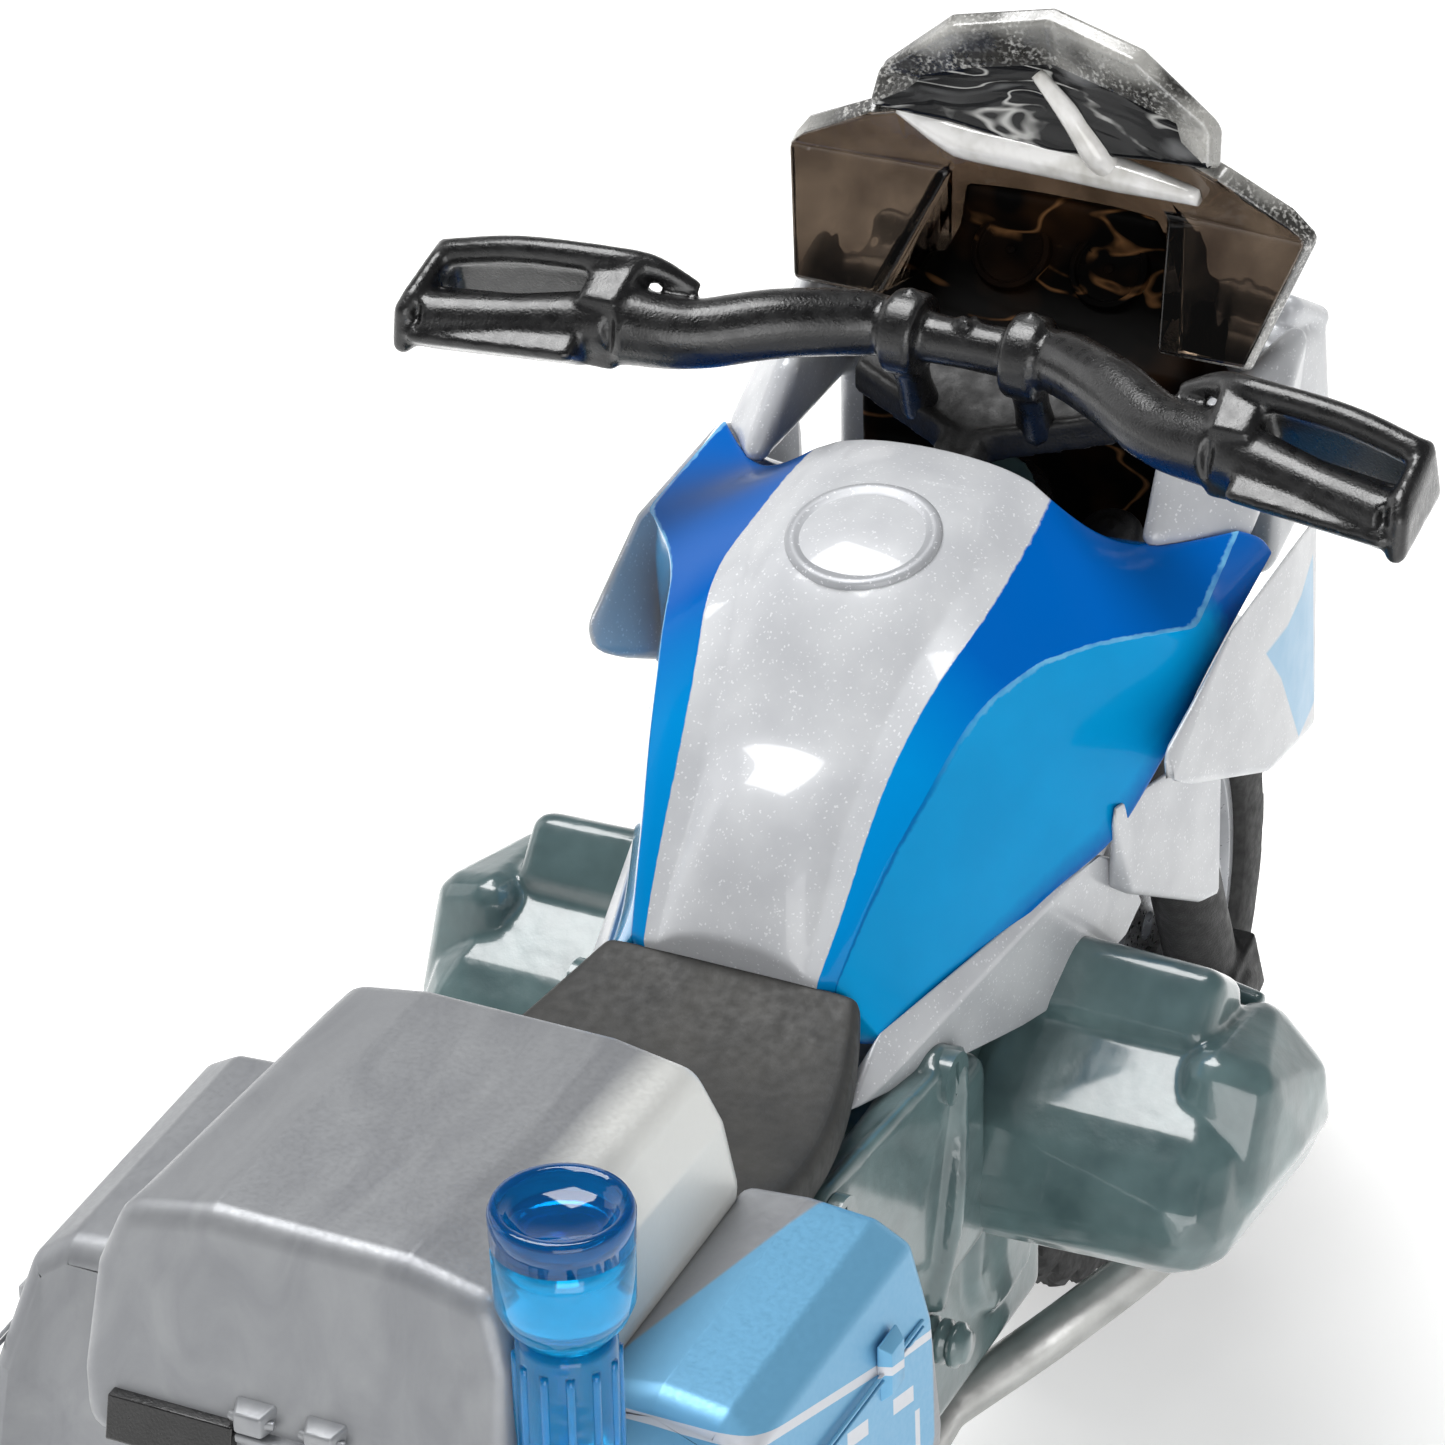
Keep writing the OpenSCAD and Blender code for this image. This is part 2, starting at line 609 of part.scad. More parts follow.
engine_casting();
left_cylinder();
right_cylinder();
swingarm();
rear_axle();
chassis_screws();
stand_screw();
tank_shell();
filler_cap();
left_side_cover();
right_side_cover();
left_shroud();
right_shroud();
front_fairing();
headlight_lens();
instrument_panel();
windscreen();
seat();
luggage_rack();
top_case();
left_pannier();
right_pannier();
beacon_pole();
beacon_lens();
rear_mudguard();
tail_light();
exhaust_header();
exhaust_silencer();
foot_pegs();
handlebar();
fork();
front_mudguard();
front_axle();
steering_pin();
front_rim();
front_tyre();
front_brake_discs();
rear_rim();
rear_tyre();
rear_brake_disc();
side_stand();
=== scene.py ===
import math

import bmesh
import bpy
from mathutils import Matrix, Vector


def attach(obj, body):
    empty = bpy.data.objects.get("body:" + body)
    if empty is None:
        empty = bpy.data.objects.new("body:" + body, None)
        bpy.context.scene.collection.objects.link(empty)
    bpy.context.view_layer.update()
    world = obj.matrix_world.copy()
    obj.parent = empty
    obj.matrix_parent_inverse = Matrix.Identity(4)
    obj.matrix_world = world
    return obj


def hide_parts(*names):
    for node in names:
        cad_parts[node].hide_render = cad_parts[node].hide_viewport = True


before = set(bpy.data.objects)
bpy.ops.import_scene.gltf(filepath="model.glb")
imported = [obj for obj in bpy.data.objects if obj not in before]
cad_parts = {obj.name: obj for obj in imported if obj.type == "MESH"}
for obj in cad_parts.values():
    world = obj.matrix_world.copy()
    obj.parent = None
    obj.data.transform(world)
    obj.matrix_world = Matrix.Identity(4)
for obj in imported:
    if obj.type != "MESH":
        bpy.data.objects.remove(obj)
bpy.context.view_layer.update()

MM = 0.001


# ---- small helpers: every length below is in millimetres ----

def srgb(red, green, blue):
    """Linear colour of a display colour given as 0 to 255."""
    def linear(value):
        value /= 255.0
        return value / 12.92 if value <= 0.04045 else ((value + 0.055) / 1.055) ** 2.4
    return (linear(red), linear(green), linear(blue), 1.0)


def on_side(points, side):
    """The points, or their mirror images across the middle of the toy where side is -1."""
    return [(p[0], p[1] * side, p[2]) for p in points]


def both_sides(points):
    return list(points) + on_side(points, -1)


def box(xs, ys, zs):
    """Corners of an upright box between two values along each axis."""
    return [(x, y, z) for x in xs for y in ys for z in zs]


def polar(radius, angle, height=0.0):
    return Vector((radius * math.cos(angle), radius * math.sin(angle), height))


def around(count):
    """Evenly spaced angles of a full turn."""
    return [2 * math.pi * k / count for k in range(count)]


def axis_place(origin, direction):
    """Matrix that puts local Z along a direction from an origin."""
    turn = Vector(direction).to_track_quat("Z", "Y").to_matrix().to_4x4()
    return Matrix.Translation(Vector(origin)) @ turn


def smooth_path(points, steps):
    """Points on a smooth curve that passes through all the given ones."""
    knots = [Vector(p) for p in points]
    knots = [2 * knots[0] - knots[1]] + knots + [2 * knots[-1] - knots[-2]]
    path = []
    for i in range(1, len(knots) - 2):
        a, b, c, d = knots[i - 1:i + 3]
        for j in range(steps):
            t = j / steps
            path.append(0.5 * (2 * b + (c - a) * t + (2 * a - 5 * b + 4 * c - d) * t ** 2
                               + (3 * b - a - 3 * c + d) * t ** 3))
    path.append(knots[-2])
    return path


def join(bm, other):
    """Adds one bmesh to another and frees it."""
    scratch = bpy.data.meshes.new("scratch")
    other.to_mesh(scratch)
    other.free()
    bm.from_mesh(scratch)
    bpy.data.meshes.remove(scratch)


def add_hull(bm, points, radius=0.0):
    """Convex block round the points, each swollen to a ball of the given radius."""
    block = bmesh.new()
    for point in points:
        if radius:
            bmesh.ops.create_icosphere(block, subdivisions=2, radius=radius,
                                       matrix=Matrix.Translation(Vector(point)))
        else:
            block.verts.new(point)
    result = bmesh.ops.convex_hull(block, input=block.verts)
    left_over = result["geom_interior"] + result["geom_unused"]
    inner = {v for v in left_over if isinstance(v, bmesh.types.BMVert)}
    bmesh.ops.delete(block, geom=list(inner), context="VERTS")
    bmesh.ops.delete(block, geom=[v for v in block.verts if not v.link_faces], context="VERTS")
    bmesh.ops.dissolve_limit(block, angle_limit=math.radians(1.5), verts=block.verts, edges=block.edges)
    bmesh.ops.recalc_face_normals(block, faces=block.faces)
    join(bm, block)


def add_strip(bm, one, two, closed=True):
    """Faces between two rows of points; a closed strip also joins the last points to the first."""
    for k in range(len(one) if closed else len(one) - 1):
        following = (k + 1) % len(one)
        bm.faces.new((one[k], one[following], two[following], two[k]))


def add_skin(bm, rings):
    """Surface through rings of points, with a flat cap at each end."""
    for one, two in zip(rings, rings[1:]):
        add_strip(bm, one, two)
    bm.faces.new(list(reversed(rings[0])))
    bm.faces.new(rings[-1])


def add_tube(bm, points, radii, sides=20, steps=6):
    """Round tube along a smooth path; radii holds one radius, or one for each point."""
    path = smooth_path(points, steps)
    if not isinstance(radii, list):
        radii = [radii] * len(points)
    last = len(path) - 1
    rings = []
    across = (path[1] - path[0]).normalized().orthogonal().normalized()
    for i, point in enumerate(path):
        ahead = (path[min(i + 1, last)] - path[max(i - 1, 0)]).normalized()
        across = (across - ahead * across.dot(ahead)).normalized()
        upward = ahead.cross(across)
        low, part = divmod(i, steps)
        high = min(low + 1, len(radii) - 1)
        radius = radii[low] + (radii[high] - radii[low]) * part / steps
        rings.append([bm.verts.new(point + (across * math.cos(a) + upward * math.sin(a)) * radius)
                      for a in around(sides)])
    add_skin(bm, rings)


def add_lathe(bm, profile, place, steps=64):
    """Turned shape: profile lists (radius, height) along the local Z axis, and may start or end on it."""
    rings = []
    for radius, height in profile:
        angles = around(steps) if radius else [0.0]
        rings.append([bm.verts.new(place @ polar(radius, a, height)) for a in angles])
    for one, two in zip(rings, rings[1:]):
        for k in range(steps):
            corners = [one[k % len(one)], one[(k + 1) % len(one)], two[(k + 1) % len(two)],
                       two[k % len(two)]]
            corners = list(dict.fromkeys(corners))
            if len(corners) > 2:
                bm.faces.new(corners)


def add_ring(bm, profile, place, steps, cut=None):
    """Closed turned ring; cut gives how far the point of a step and profile index sinks in."""
    rings = []
    for i, angle in enumerate(around(steps)):
        rings.append([bm.verts.new(place @ polar(radius - (cut(i, j) if cut else 0.0), angle, height))
                      for j, (radius, height) in enumerate(profile)])
    for one, two in zip(rings, rings[1:] + rings[:1]):
        add_strip(bm, one, two)


def add_node(bm, node):
    """The mesh of a CAD node, in millimetres."""
    copy = bmesh.new()
    copy.from_mesh(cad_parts[node].data)
    bmesh.ops.scale(copy, vec=(1 / MM,) * 3, verts=copy.verts)
    join(bm, copy)


def make_piece(name, bm, looks, replaces=None, body="motorcycle"):
    """Turns a bmesh in millimetres into a piece that rides on a body, with the material of each look."""
    bmesh.ops.remove_doubles(bm, verts=bm.verts, dist=1e-4)
    bmesh.ops.recalc_face_normals(bm, faces=bm.faces)
    bmesh.ops.scale(bm, vec=(MM,) * 3, verts=bm.verts)
    mesh = bpy.data.meshes.new(name)
    bm.to_mesh(mesh)
    bm.free()
    mesh.shade_smooth()
    piece = bpy.data.objects.new(name, mesh)
    bpy.context.scene.collection.objects.link(piece)
    looks = looks if isinstance(looks, list) else [looks]
    for look in looks:
        mesh.materials.append(LOOKS[look][1])
    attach(piece, body)
    if replaces:
        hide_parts(replaces)
    return piece


def bevel(piece, width, segments=3, angle=25):
    mod = piece.modifiers.new("edge", "BEVEL")
    mod.width = width * MM
    mod.segments = segments
    mod.limit_method = "ANGLE"
    mod.angle_limit = math.radians(angle)
    mod.harden_normals = True


def subdivide(piece, levels):
    mod = piece.modifiers.new("round", "SUBSURF")
    mod.levels = levels
    mod.render_levels = levels


def thicken(piece, thickness, offset=-1.0):
    mod = piece.modifiers.new("wall", "SOLIDIFY")
    mod.thickness = thickness * MM
    mod.offset = offset
    mod.use_even_offset = True
    return mod


def melt(piece, voxel, passes):
    """Fuses overlapping blocks and rounds their edges, as thick paint or moulding does."""
    fuse = piece.modifiers.new("fuse", "REMESH")
    fuse.mode = "VOXEL"
    fuse.voxel_size = voxel * MM
    fuse.use_smooth_shade = True
    soften = piece.modifiers.new("soften", "SMOOTH")
    soften.factor = 0.5
    soften.iterations = passes


# ---- materials ----

class Field:
    """A number that varies over the surface; arithmetic on it adds shader nodes."""

    def __init__(self, paint, socket):
        self.paint = paint
        self.socket = socket

    def combine(self, operation, other=0.0):
        made = self.paint.node("ShaderNodeMath", {0: self, 1: other}, operation=operation)
        return Field(self.paint, made.outputs[0])

    def __add__(self, other):
        return self.combine("ADD", other)

    def __sub__(self, other):
        return self.combine("SUBTRACT", other)

    def __mul__(self, other):
        return self.combine("MULTIPLY", other)

    def __lt__(self, other):
        return self.combine("LESS_THAN", other)

    def distance(self, centre):
        return (self - centre).combine("ABSOLUTE")

    def ramp(self, low, high, start=0.0, end=1.0):
        made = self.paint.node("ShaderNodeMapRange", {"Value": self, "From Min": low, "From Max": high,
                                                      "To Min": start, "To Max": end})
        return Field(self.paint, made.outputs["Result"])

    def blend(self, first, second):
        """Colour that runs from the first to the second while this number runs from 0 to 1."""
        return self.paint.node("ShaderNodeMix", {0: self, 6: first, 7: second}, data_type="RGBA").outputs[2]


class Paint:
    """A Principled material, with short calls for what varies over the surface."""

    def __init__(self, name, roughness=0.4, metallic=0.0, coat=0.0, coat_roughness=0.05, ior=1.5,
                 transmission=0.0):
        self.mat = bpy.data.materials.new(name)
        self.mat.use_nodes = True
        self.tree = self.mat.node_tree
        self.shader = self.tree.nodes["Principled BSDF"]
        values = {"Roughness": roughness, "Metallic": metallic, "Coat Weight": coat,
                  "Coat Roughness": coat_roughness, "IOR": ior, "Transmission Weight": transmission}
        for socket, value in values.items():
            self.shader.inputs[socket].default_value = value
        place = self.node("ShaderNodeTexCoord").outputs["Object"]
        self.place = self.node("ShaderNodeVectorMath", {0: place, "Scale": 1 / MM},
                               operation="SCALE").outputs[0]

    def node(self, kind, inputs=None, **settings):
        made = self.tree.nodes.new(kind)
        for key, value in settings.items():
            setattr(made, key, value)
        for socket, value in (inputs or {}).items():
            self.feed(made.inputs[socket], value)
        return made

    def feed(self, socket, value):
        """Links a socket to a field or another socket, or sets it to a constant."""
        if isinstance(value, Field):
            value = value.socket
        if isinstance(value, bpy.types.NodeSocket):
            self.tree.links.new(value, socket)
        else:
            socket.default_value = value

    def noise(self, scale, detail=3.0, stretch=None, distortion=0.0):
        """Soft noise with features about 1/scale millimetres across."""
        where = self.place
        if stretch:
            where = self.node("ShaderNodeVectorMath", {0: where, 1: stretch},
                              operation="MULTIPLY").outputs[0]
        made = self.node("ShaderNodeTexNoise", {"Vector": where, "Scale": scale, "Detail": detail,
                                                "Distortion": distortion})
        return Field(self, made.outputs["Fac"])

    def cells(self, scale):
        """A random number for each of many small cells."""
        cell = self.node("ShaderNodeTexVoronoi", {"Vector": self.place, "Scale": scale})
        return Field(self, self.node("ShaderNodeSeparateColor", {0: cell.outputs["Color"]}).outputs[0])

    def axes(self, vector=None):
        """X, Y and Z of a vector, or of the place on the toy in millimetres."""
        split = self.node("ShaderNodeSeparateXYZ", {0: vector or self.place})
        return [Field(self, split.outputs[k]) for k in range(3)]

    def colour(self, value):
        self.feed(self.shader.inputs["Base Color"], value)

    def rough(self, value):
        self.feed(self.shader.inputs["Roughness"], value)

    def cloudy(self, scale, first, second, low=0.3, high=0.7):
        """Colour that drifts between two tints."""
        self.colour(self.noise(scale).ramp(low, high).blend(first, second))

    def uneven(self, scale, least, most):
        """Roughness that drifts between two values."""
        self.rough(self.noise(scale).ramp(0.3, 0.7, least, most))

    def bumps(self, *layers):
        """Bump layers as (height, strength, depth in millimetres)."""
        normal = None
        for height, strength, depth in layers:
            made = self.node("ShaderNodeBump",
                             {"Strength": strength, "Distance": depth * MM, "Height": height})
            if normal:
                self.feed(made.inputs["Normal"], normal)
            normal = made.outputs[0]
        self.feed(self.shader.inputs["Normal"], normal)


SILVER = srgb(196, 198, 201)
SILVER_SHADE = srgb(183, 185, 189)
FLAKE = (0.95, 0.96, 0.98, 1.0)
# The next four blues are the tank's one paint in lit and shaded copies: the dark and middle blues are
# painted shade, the light blue is the lit flanks, and the edge blue is a painted highlight along the crease.
SHADED_FACET_BLUE = srgb(0, 92, 178)
HALF_SHADED_BLUE = srgb(0, 134, 204)
LIT_FLANK_BLUE = srgb(0, 152, 215)
EDGE_HIGHLIGHT_BLUE = srgb(120, 190, 228)
PRINT_BLUE = srgb(107, 168, 205)


def glitter(paint, base, shade):
    """Pearl plastic: the colour, a cloudy tint with bright flakes, and the field of the flakes."""
    cloudy = paint.noise(0.5, 4.0).ramp(0.35, 0.65).blend(shade, base)
    speck = paint.cells(20.0).ramp(0.95, 0.98)
    return (speck * 0.45).blend(cloudy, FLAKE), speck


def pearl_silver(name="pearl_silver", base=SILVER, shade=SILVER_SHADE, coat=0.35):
    """Silver plastic with fine glitter in it."""
    paint = Paint(name, metallic=0.12, coat=coat, coat_roughness=0.1)
    tint, speck = glitter(paint, base, shade)
    paint.colour(tint)
    paint.uneven(1.2, 0.3, 0.42)
    paint.bumps((paint.noise(1.4, 2.0), 0.12, 0.08), (speck, 0.25, 0.01))
    return paint.mat


def printed_silver():
    """Right shroud: pearl plastic with a light blue three-cornered print on the outside."""
    paint = Paint("printed_silver", metallic=0.1, coat=0.35, coat_roughness=0.1)
    tint, speck = glitter(paint, SILVER, SILVER_SHADE)
    x, y, z = paint.axes()
    mask = (x * 1.353 + z).ramp(44.62, 44.72)
    for side in (x.ramp(17.65, 17.55), z.ramp(23.55, 23.65), z.ramp(28.45, 28.35), y.ramp(-7.4, -7.5)):
        mask = mask * side
    paint.colour(mask.blend(tint, PRINT_BLUE))
    paint.uneven(1.2, 0.3, 0.4)
    paint.bumps((paint.noise(1.4, 2.0), 0.12, 0.08), (speck, 0.25, 0.01), (mask, 0.4, 0.01))
    return paint.mat


# Places across the tank, from 0 at its crown to 1 at its tucked edge, where its colours change.
BAND_EDGE = 0.375
CREASE = 0.625
LOWER_EDGE = 0.875


def tank_paint(name, coat, ior):
    """Silver middle band, dark blue front facets and lighter blue flanks, split along the surface. The blues
    are one paint in lit and shaded copies: the dark facets and the dark front of the flanks are painted
    shade, and the band's silver is a slightly lighter copy of the pearl silver, painted light on the top.
    """
    paint = Paint(name, coat=coat, ior=ior)
    # The band's silver is a slightly lighter copy of the pearl silver: painted light on the top of the tank.
    tint, _ = glitter(paint, srgb(202, 204, 207), srgb(190, 192, 196))
    across, along, _ = paint.axes(paint.node("ShaderNodeUVMap", uv_map="layout").outputs[0])
    wander = (paint.noise(3.2, 4.0) - 0.5) * 0.012
    across = across + wander
    along = along + wander
    band = across.ramp(BAND_EDGE - 0.003, BAND_EDGE + 0.003)
    # Facet between band and crease, darkest in front and lighter towards the rear: painted shade.
    strip = along.ramp(0.42, 0.62).blend(SHADED_FACET_BLUE, HALF_SHADED_BLUE)
    flank = paint.noise(0.35).ramp(0.35, 0.65).blend(LIT_FLANK_BLUE, srgb(0, 146, 208))
    # Deeper blue along the tucked lower edge: partly a darker line of paint, partly painted shade under the
    # edge.
    flank = across.ramp(LOWER_EDGE - 0.03, LOWER_EDGE).blend(flank, srgb(0, 96, 172))
    # The front of the flanks takes the darkest blue: painted shade.
    side = along.ramp(0.15, 0.17).blend(SHADED_FACET_BLUE, flank)
    blue = across.ramp(CREASE - 0.004, CREASE + 0.004).blend(strip, side)
    off_crease = across.distance(CREASE)
    # Darker blue line along the rear of the crease: painted shade in the crease.
    groove = off_crease.ramp(0.009, 0.003) * along.ramp(0.5, 0.66, 0.0, 0.8)
    blue = groove.blend(blue, srgb(0, 96, 166))
    # Lighter blue line along the front of the crease: a painted highlight where the edge catches the light.
    painted_edge_highlight = off_crease.ramp(0.007, 0.004) * along.ramp(0.62, 0.4)
    painted_edge_highlight = painted_edge_highlight * paint.noise(0.9).ramp(0.35, 0.6, 0.25, 0.85)
    paint.colour(band.blend(tint, painted_edge_highlight.blend(blue, EDGE_HIGHLIGHT_BLUE)))
    paint.rough(band.ramp(0.0, 1.0, 0.34, 0.2))
    paint.bumps((paint.noise(0.9, 2.0), 0.06, 0.1), (band, 0.5, 0.03))
    return paint.mat


def pannier_print(tint, x, y, z):
    """The tint with the right pannier's print on it: a blue panel, a line, dashes and an upright bar."""
    mask = (y + x * 0.27).ramp(-11.35, -11.45) * x.ramp(-13.75, -13.85)
    slope = z + x * 0.31
    line = slope.distance(18.9) < 0.13
    dashes = (slope.distance(17.5) < 0.24) * ((x * 0.37).combine("FRACT") < 0.45)
    bar = ((x + 14.8).combine("ABSOLUTE") < 0.14) * (slope < 16.9)
    marks = line.combine("MAXIMUM", dashes).combine("MAXIMUM", bar) * mask
    return marks.blend(mask.blend(tint, PRINT_BLUE), srgb(205, 208, 214))


def satin_silver(name="satin_silver", printed=False):
    """Satin case plastic with soft flow streaks from moulding, and on the unprinted case a painted highlight
    on the front of its right side.
    """
    paint = Paint(name, metallic=0.35, coat=0.15, coat_roughness=0.25)
    streaks = paint.noise(0.32, 4.0, stretch=(0.5, 1.6, 1.0), distortion=1.4).ramp(0.3, 0.7)
    tint = streaks.blend(srgb(136, 138, 142), srgb(152, 154, 157))
    x, y, z = paint.axes()
    if printed:
        tint = pannier_print(tint, x, y, z)
    else:
        # Lighter towards the front of the right side: painted light where that side faces the light.
        painted_lit_side = y.ramp(-3.3, -4.1) * x.ramp(-25.0, -19.0)
        tint = painted_lit_side.blend(tint, srgb(222, 223, 220))
    grain = paint.noise(7.0, 2.0)
    paint.colour(tint)
    paint.rough(grain.ramp(0.3, 0.7, 0.36, 0.48))
    paint.bumps((paint.noise(0.8, 2.0), 0.1, 0.12), (grain, 0.08, 0.02))
    return paint.mat


def enamel():
    """Thick grey-green paint on cast metal, pooled and glossy."""
    paint = Paint("enamel", roughness=0.3, coat=1.0, coat_roughness=0.09, ior=1.52)
    paint.cloudy(0.55, srgb(70, 92, 94), srgb(98, 122, 123))
    paint.bumps((paint.noise(0.7, 2.0), 0.4, 0.2), (paint.noise(8.0, 2.0), 0.25, 0.02))
    return paint.mat


def grained_black(name="grained_black", tint=(13, 13, 14), roughness=0.34, coat=0.3):
    """Satin black moulding with fine pits that break up its highlights."""
    paint = Paint(name, coat=coat, coat_roughness=0.16)
    paint.cloudy(0.8, srgb(*tint), srgb(*[c + 10 for c in tint]), 0.35, 0.65)
    paint.uneven(2.5, roughness - 0.1, roughness + 0.12)
    paint.bumps((paint.noise(13.0), 0.6, 0.03), (paint.noise(1.5, 2.0), 0.15, 0.08))
    return paint.mat


def smoky_panel():
    """Black panel under clear plastic, with wavy brown reflections painted into its colour."""
    paint = Paint("smoky_panel", roughness=0.5, ior=1.12)
    swirl = paint.noise(0.4, 1.0, stretch=(1.0, 0.45, 1.3), distortion=1.3)
    # The wavy lines and the brown patches are painted reflections.
    line = swirl.distance(0.5).ramp(0.03, 0.0) * paint.noise(0.6).ramp(0.4, 0.55)
    painted_brown_reflection = paint.noise(0.4, 2.0).ramp(0.5, 0.75, 0.0, 0.5)
    paint.colour(line.blend(painted_brown_reflection.blend(srgb(9, 8, 7), srgb(70, 45, 25)), srgb(132, 94, 60)))
    paint.bumps((swirl, 0.6, 0.5))
    return paint.mat


def seat_vinyl():
    """Dull dark grey moulding with a fine grain."""
    paint = Paint("seat_vinyl")
    paint.cloudy(0.7, srgb(40, 40, 39), srgb(55, 54, 51))
    paint.uneven(3.0, 0.52, 0.7)
    paint.bumps((paint.noise(12.0), 0.3, 0.02))
    return paint.mat


def smoked_clear(name, dark, light):
    """Smoked screen plastic with faint flow ripples."""
    paint = Paint(name, roughness=0.02, transmission=1.0, ior=1.49)
    paint.cloudy(0.5, dark, light)
    paint.bumps((paint.noise(0.45, 1.0, stretch=(1.0, 1.6, 0.5), distortion=0.8), 0.35, 0.3))
    return paint.mat


def frosted_edge():
    """Scratched grey edge of the smoked screen."""
    paint = Paint("frosted_edge", transmission=0.3, ior=1.6, coat=0.8)
    patch = paint.noise(0.28, 1.5).ramp(0.44, 0.56)
    grain = paint.noise(9.0).ramp(0.5, 0.66) * paint.noise(0.8, 2.0).ramp(0.42, 0.58, 0.15, 0.9)
    tint = patch.blend(srgb(56, 55, 52), srgb(188, 187, 182))
    paint.colour(grain.blend(tint, srgb(226, 225, 221)))
    paint.uneven(3.0, 0.18, 0.42)
    paint.bumps((paint.noise(9.0), 0.4, 0.03), (paint.noise(0.9, 1.0), 0.4, 0.25))
    return paint.mat


def rippled_visor():
    """Smoked visor face: pale ripples of painted highlight and grey patches of painted reflection over a
    dark ground.
    """
    paint = Paint("rippled_visor", roughness=0.1, transmission=0.2, ior=1.35, coat=0.2)
    swirl = paint.noise(0.42, 1.5, stretch=(1.0, 0.45, 1.4), distortion=1.5)
    # Pale ripples are painted highlights; the grey patches of the ground are painted reflections.
    painted_highlight_streak = swirl.distance(0.5).ramp(0.022, 0.004) * paint.noise(0.7).ramp(0.42, 0.6)
    ground = swirl.ramp(0.6, 0.7).blend(srgb(22, 23, 25), srgb(112, 113, 114))
    paint.colour(painted_highlight_streak.blend(ground, srgb(214, 214, 211)))
    paint.bumps((swirl, 0.6, 0.4))
    return paint.mat


def bright_edge():
    """Near-white colour of the thick lip of clear plastic: a painted highlight where the lip catches the
    light.
    """
    paint = Paint("bright_edge", roughness=0.15, coat=1.0)
    paint.cloudy(0.9, srgb(214, 212, 206), srgb(252, 251, 249), 0.35, 0.6)
    paint.bumps((paint.noise(1.2, 2.0), 0.3, 0.1))
    return paint.mat


def clear_colour(name, colour):
    """Tinted clear plastic."""
    paint = Paint(name, roughness=0.04, transmission=0.7, ior=1.49)
    paint.cloudy(0.8, tuple(c * 0.85 for c in colour[:3]) + (1.0,), colour)
    paint.bumps((paint.noise(1.4, 1.0), 0.25, 0.06))
    return paint.mat


def metal(name, tint, roughness, stretch=(1.0, 1.0, 1.0), metallic=1.0):
    """Metal with fine brushing and slightly uneven polish."""
    paint = Paint(name, metallic=metallic)
    brushed = paint.noise(6.0, stretch=stretch)
    paint.cloudy(0.9, srgb(*tint), srgb(*[c - 22 for c in tint]))
    paint.rough(brushed.ramp(0.3, 0.7, roughness - 0.08, roughness + 0.1))
    paint.bumps((brushed, 0.12, 0.02))
    return paint.mat


def rubber():
    """Dull black tyre rubber."""
    paint = Paint("rubber")
    paint.cloudy(1.1, srgb(22, 22, 23), srgb(37, 37, 37), 0.35, 0.65)
    paint.uneven(4.0, 0.55, 0.78)
    paint.bumps((paint.noise(10.0), 0.3, 0.03))
    return paint.mat


def make_looks():
    """The slot and the material of each look."""
    smoked = smoked_clear("smoked_clear", (0.035, 0.024, 0.017, 1.0), (0.12, 0.088, 0.062, 1.0))
    smoked_deep = smoked_clear("smoked_deep", (0.02, 0.013, 0.008, 1.0), (0.09, 0.06, 0.04, 1.0))
    pipe = metal("exhaust_silver", (196, 196, 194), 0.36, stretch=(0.3, 1.6, 1.6), metallic=0.7)
    return {
        "silver": ("pearl_silver", pearl_silver()),
        # The cap's silver is a darker copy of the pearl silver: painted shade.
        "cap": ("pearl_silver", pearl_silver("cap_shaded_silver", srgb(172, 174, 178), srgb(162, 164, 168), 0.05)),
        "printed": ("pearl_silver", printed_silver()),
        "tank": ("pearl_silver", tank_paint("tank_silver_band", 0.5, 1.5)),
        "tank_blue": ("pearl_silver", tank_paint("tank_blue_sides", 0.1, 1.12)),
        "tank_left": ("pearl_silver", tank_paint("tank_blue_left", 1.0, 1.5)),
        "case": ("satin_silver", satin_silver()),
        "case_printed": ("satin_silver", satin_silver("case_printed", printed=True)),
        "enamel": ("casting_paint", enamel()),
        "black": ("black_plastic", grained_black()),
        "black_matte": ("black_plastic", grained_black("black_matte", (10, 10, 11), 0.56, 0.0)),
        "black_bar": ("black_plastic", grained_black("black_bar", (14, 14, 15), 0.3, 0.5)),
        "black_gloss": ("black_plastic", grained_black("black_gloss", (18, 18, 19), 0.22)),
        "dash": ("black_plastic", smoky_panel()),
        "seat": ("seat_plastic", seat_vinyl()),
        "smoked": ("smoked_clear", smoked),
        "smoked_deep": ("smoked_clear", smoked_deep),
        "visor": ("smoked_clear", rippled_visor()),
        "bright_edge": ("smoked_clear", bright_edge()),
        "frosted": ("smoked_clear", frosted_edge()),
        "clear": ("clear_lens", clear_colour("lamp_clear", (0.9, 0.93, 0.95, 1.0))),
        "blue_clear": ("blue_clear", clear_colour("beacon_blue", (0.01, 0.5, 1.0, 1.0))),
        "blue_deep": ("blue_clear", clear_colour("beacon_deep_blue", (0.0, 0.17, 0.5, 1.0))),
        "red_clear": ("red_clear", clear_colour("tail_red", (0.75, 0.02, 0.02, 1.0))),
        "mirror": ("bare_steel", metal("reflector", (225, 228, 232), 0.12)),
        "steel": ("bare_steel", metal("steel", (176, 178, 182), 0.3)),
        "wheel": ("wheel_silver", metal("wheel_silver", (178, 180, 184), 0.34, metallic=0.6)),
        "exhaust": ("exhaust_silver", pipe),
        "rubber": ("tyre_black", rubber()),
    }


LOOKS = make_looks()


# ---- bodywork ----

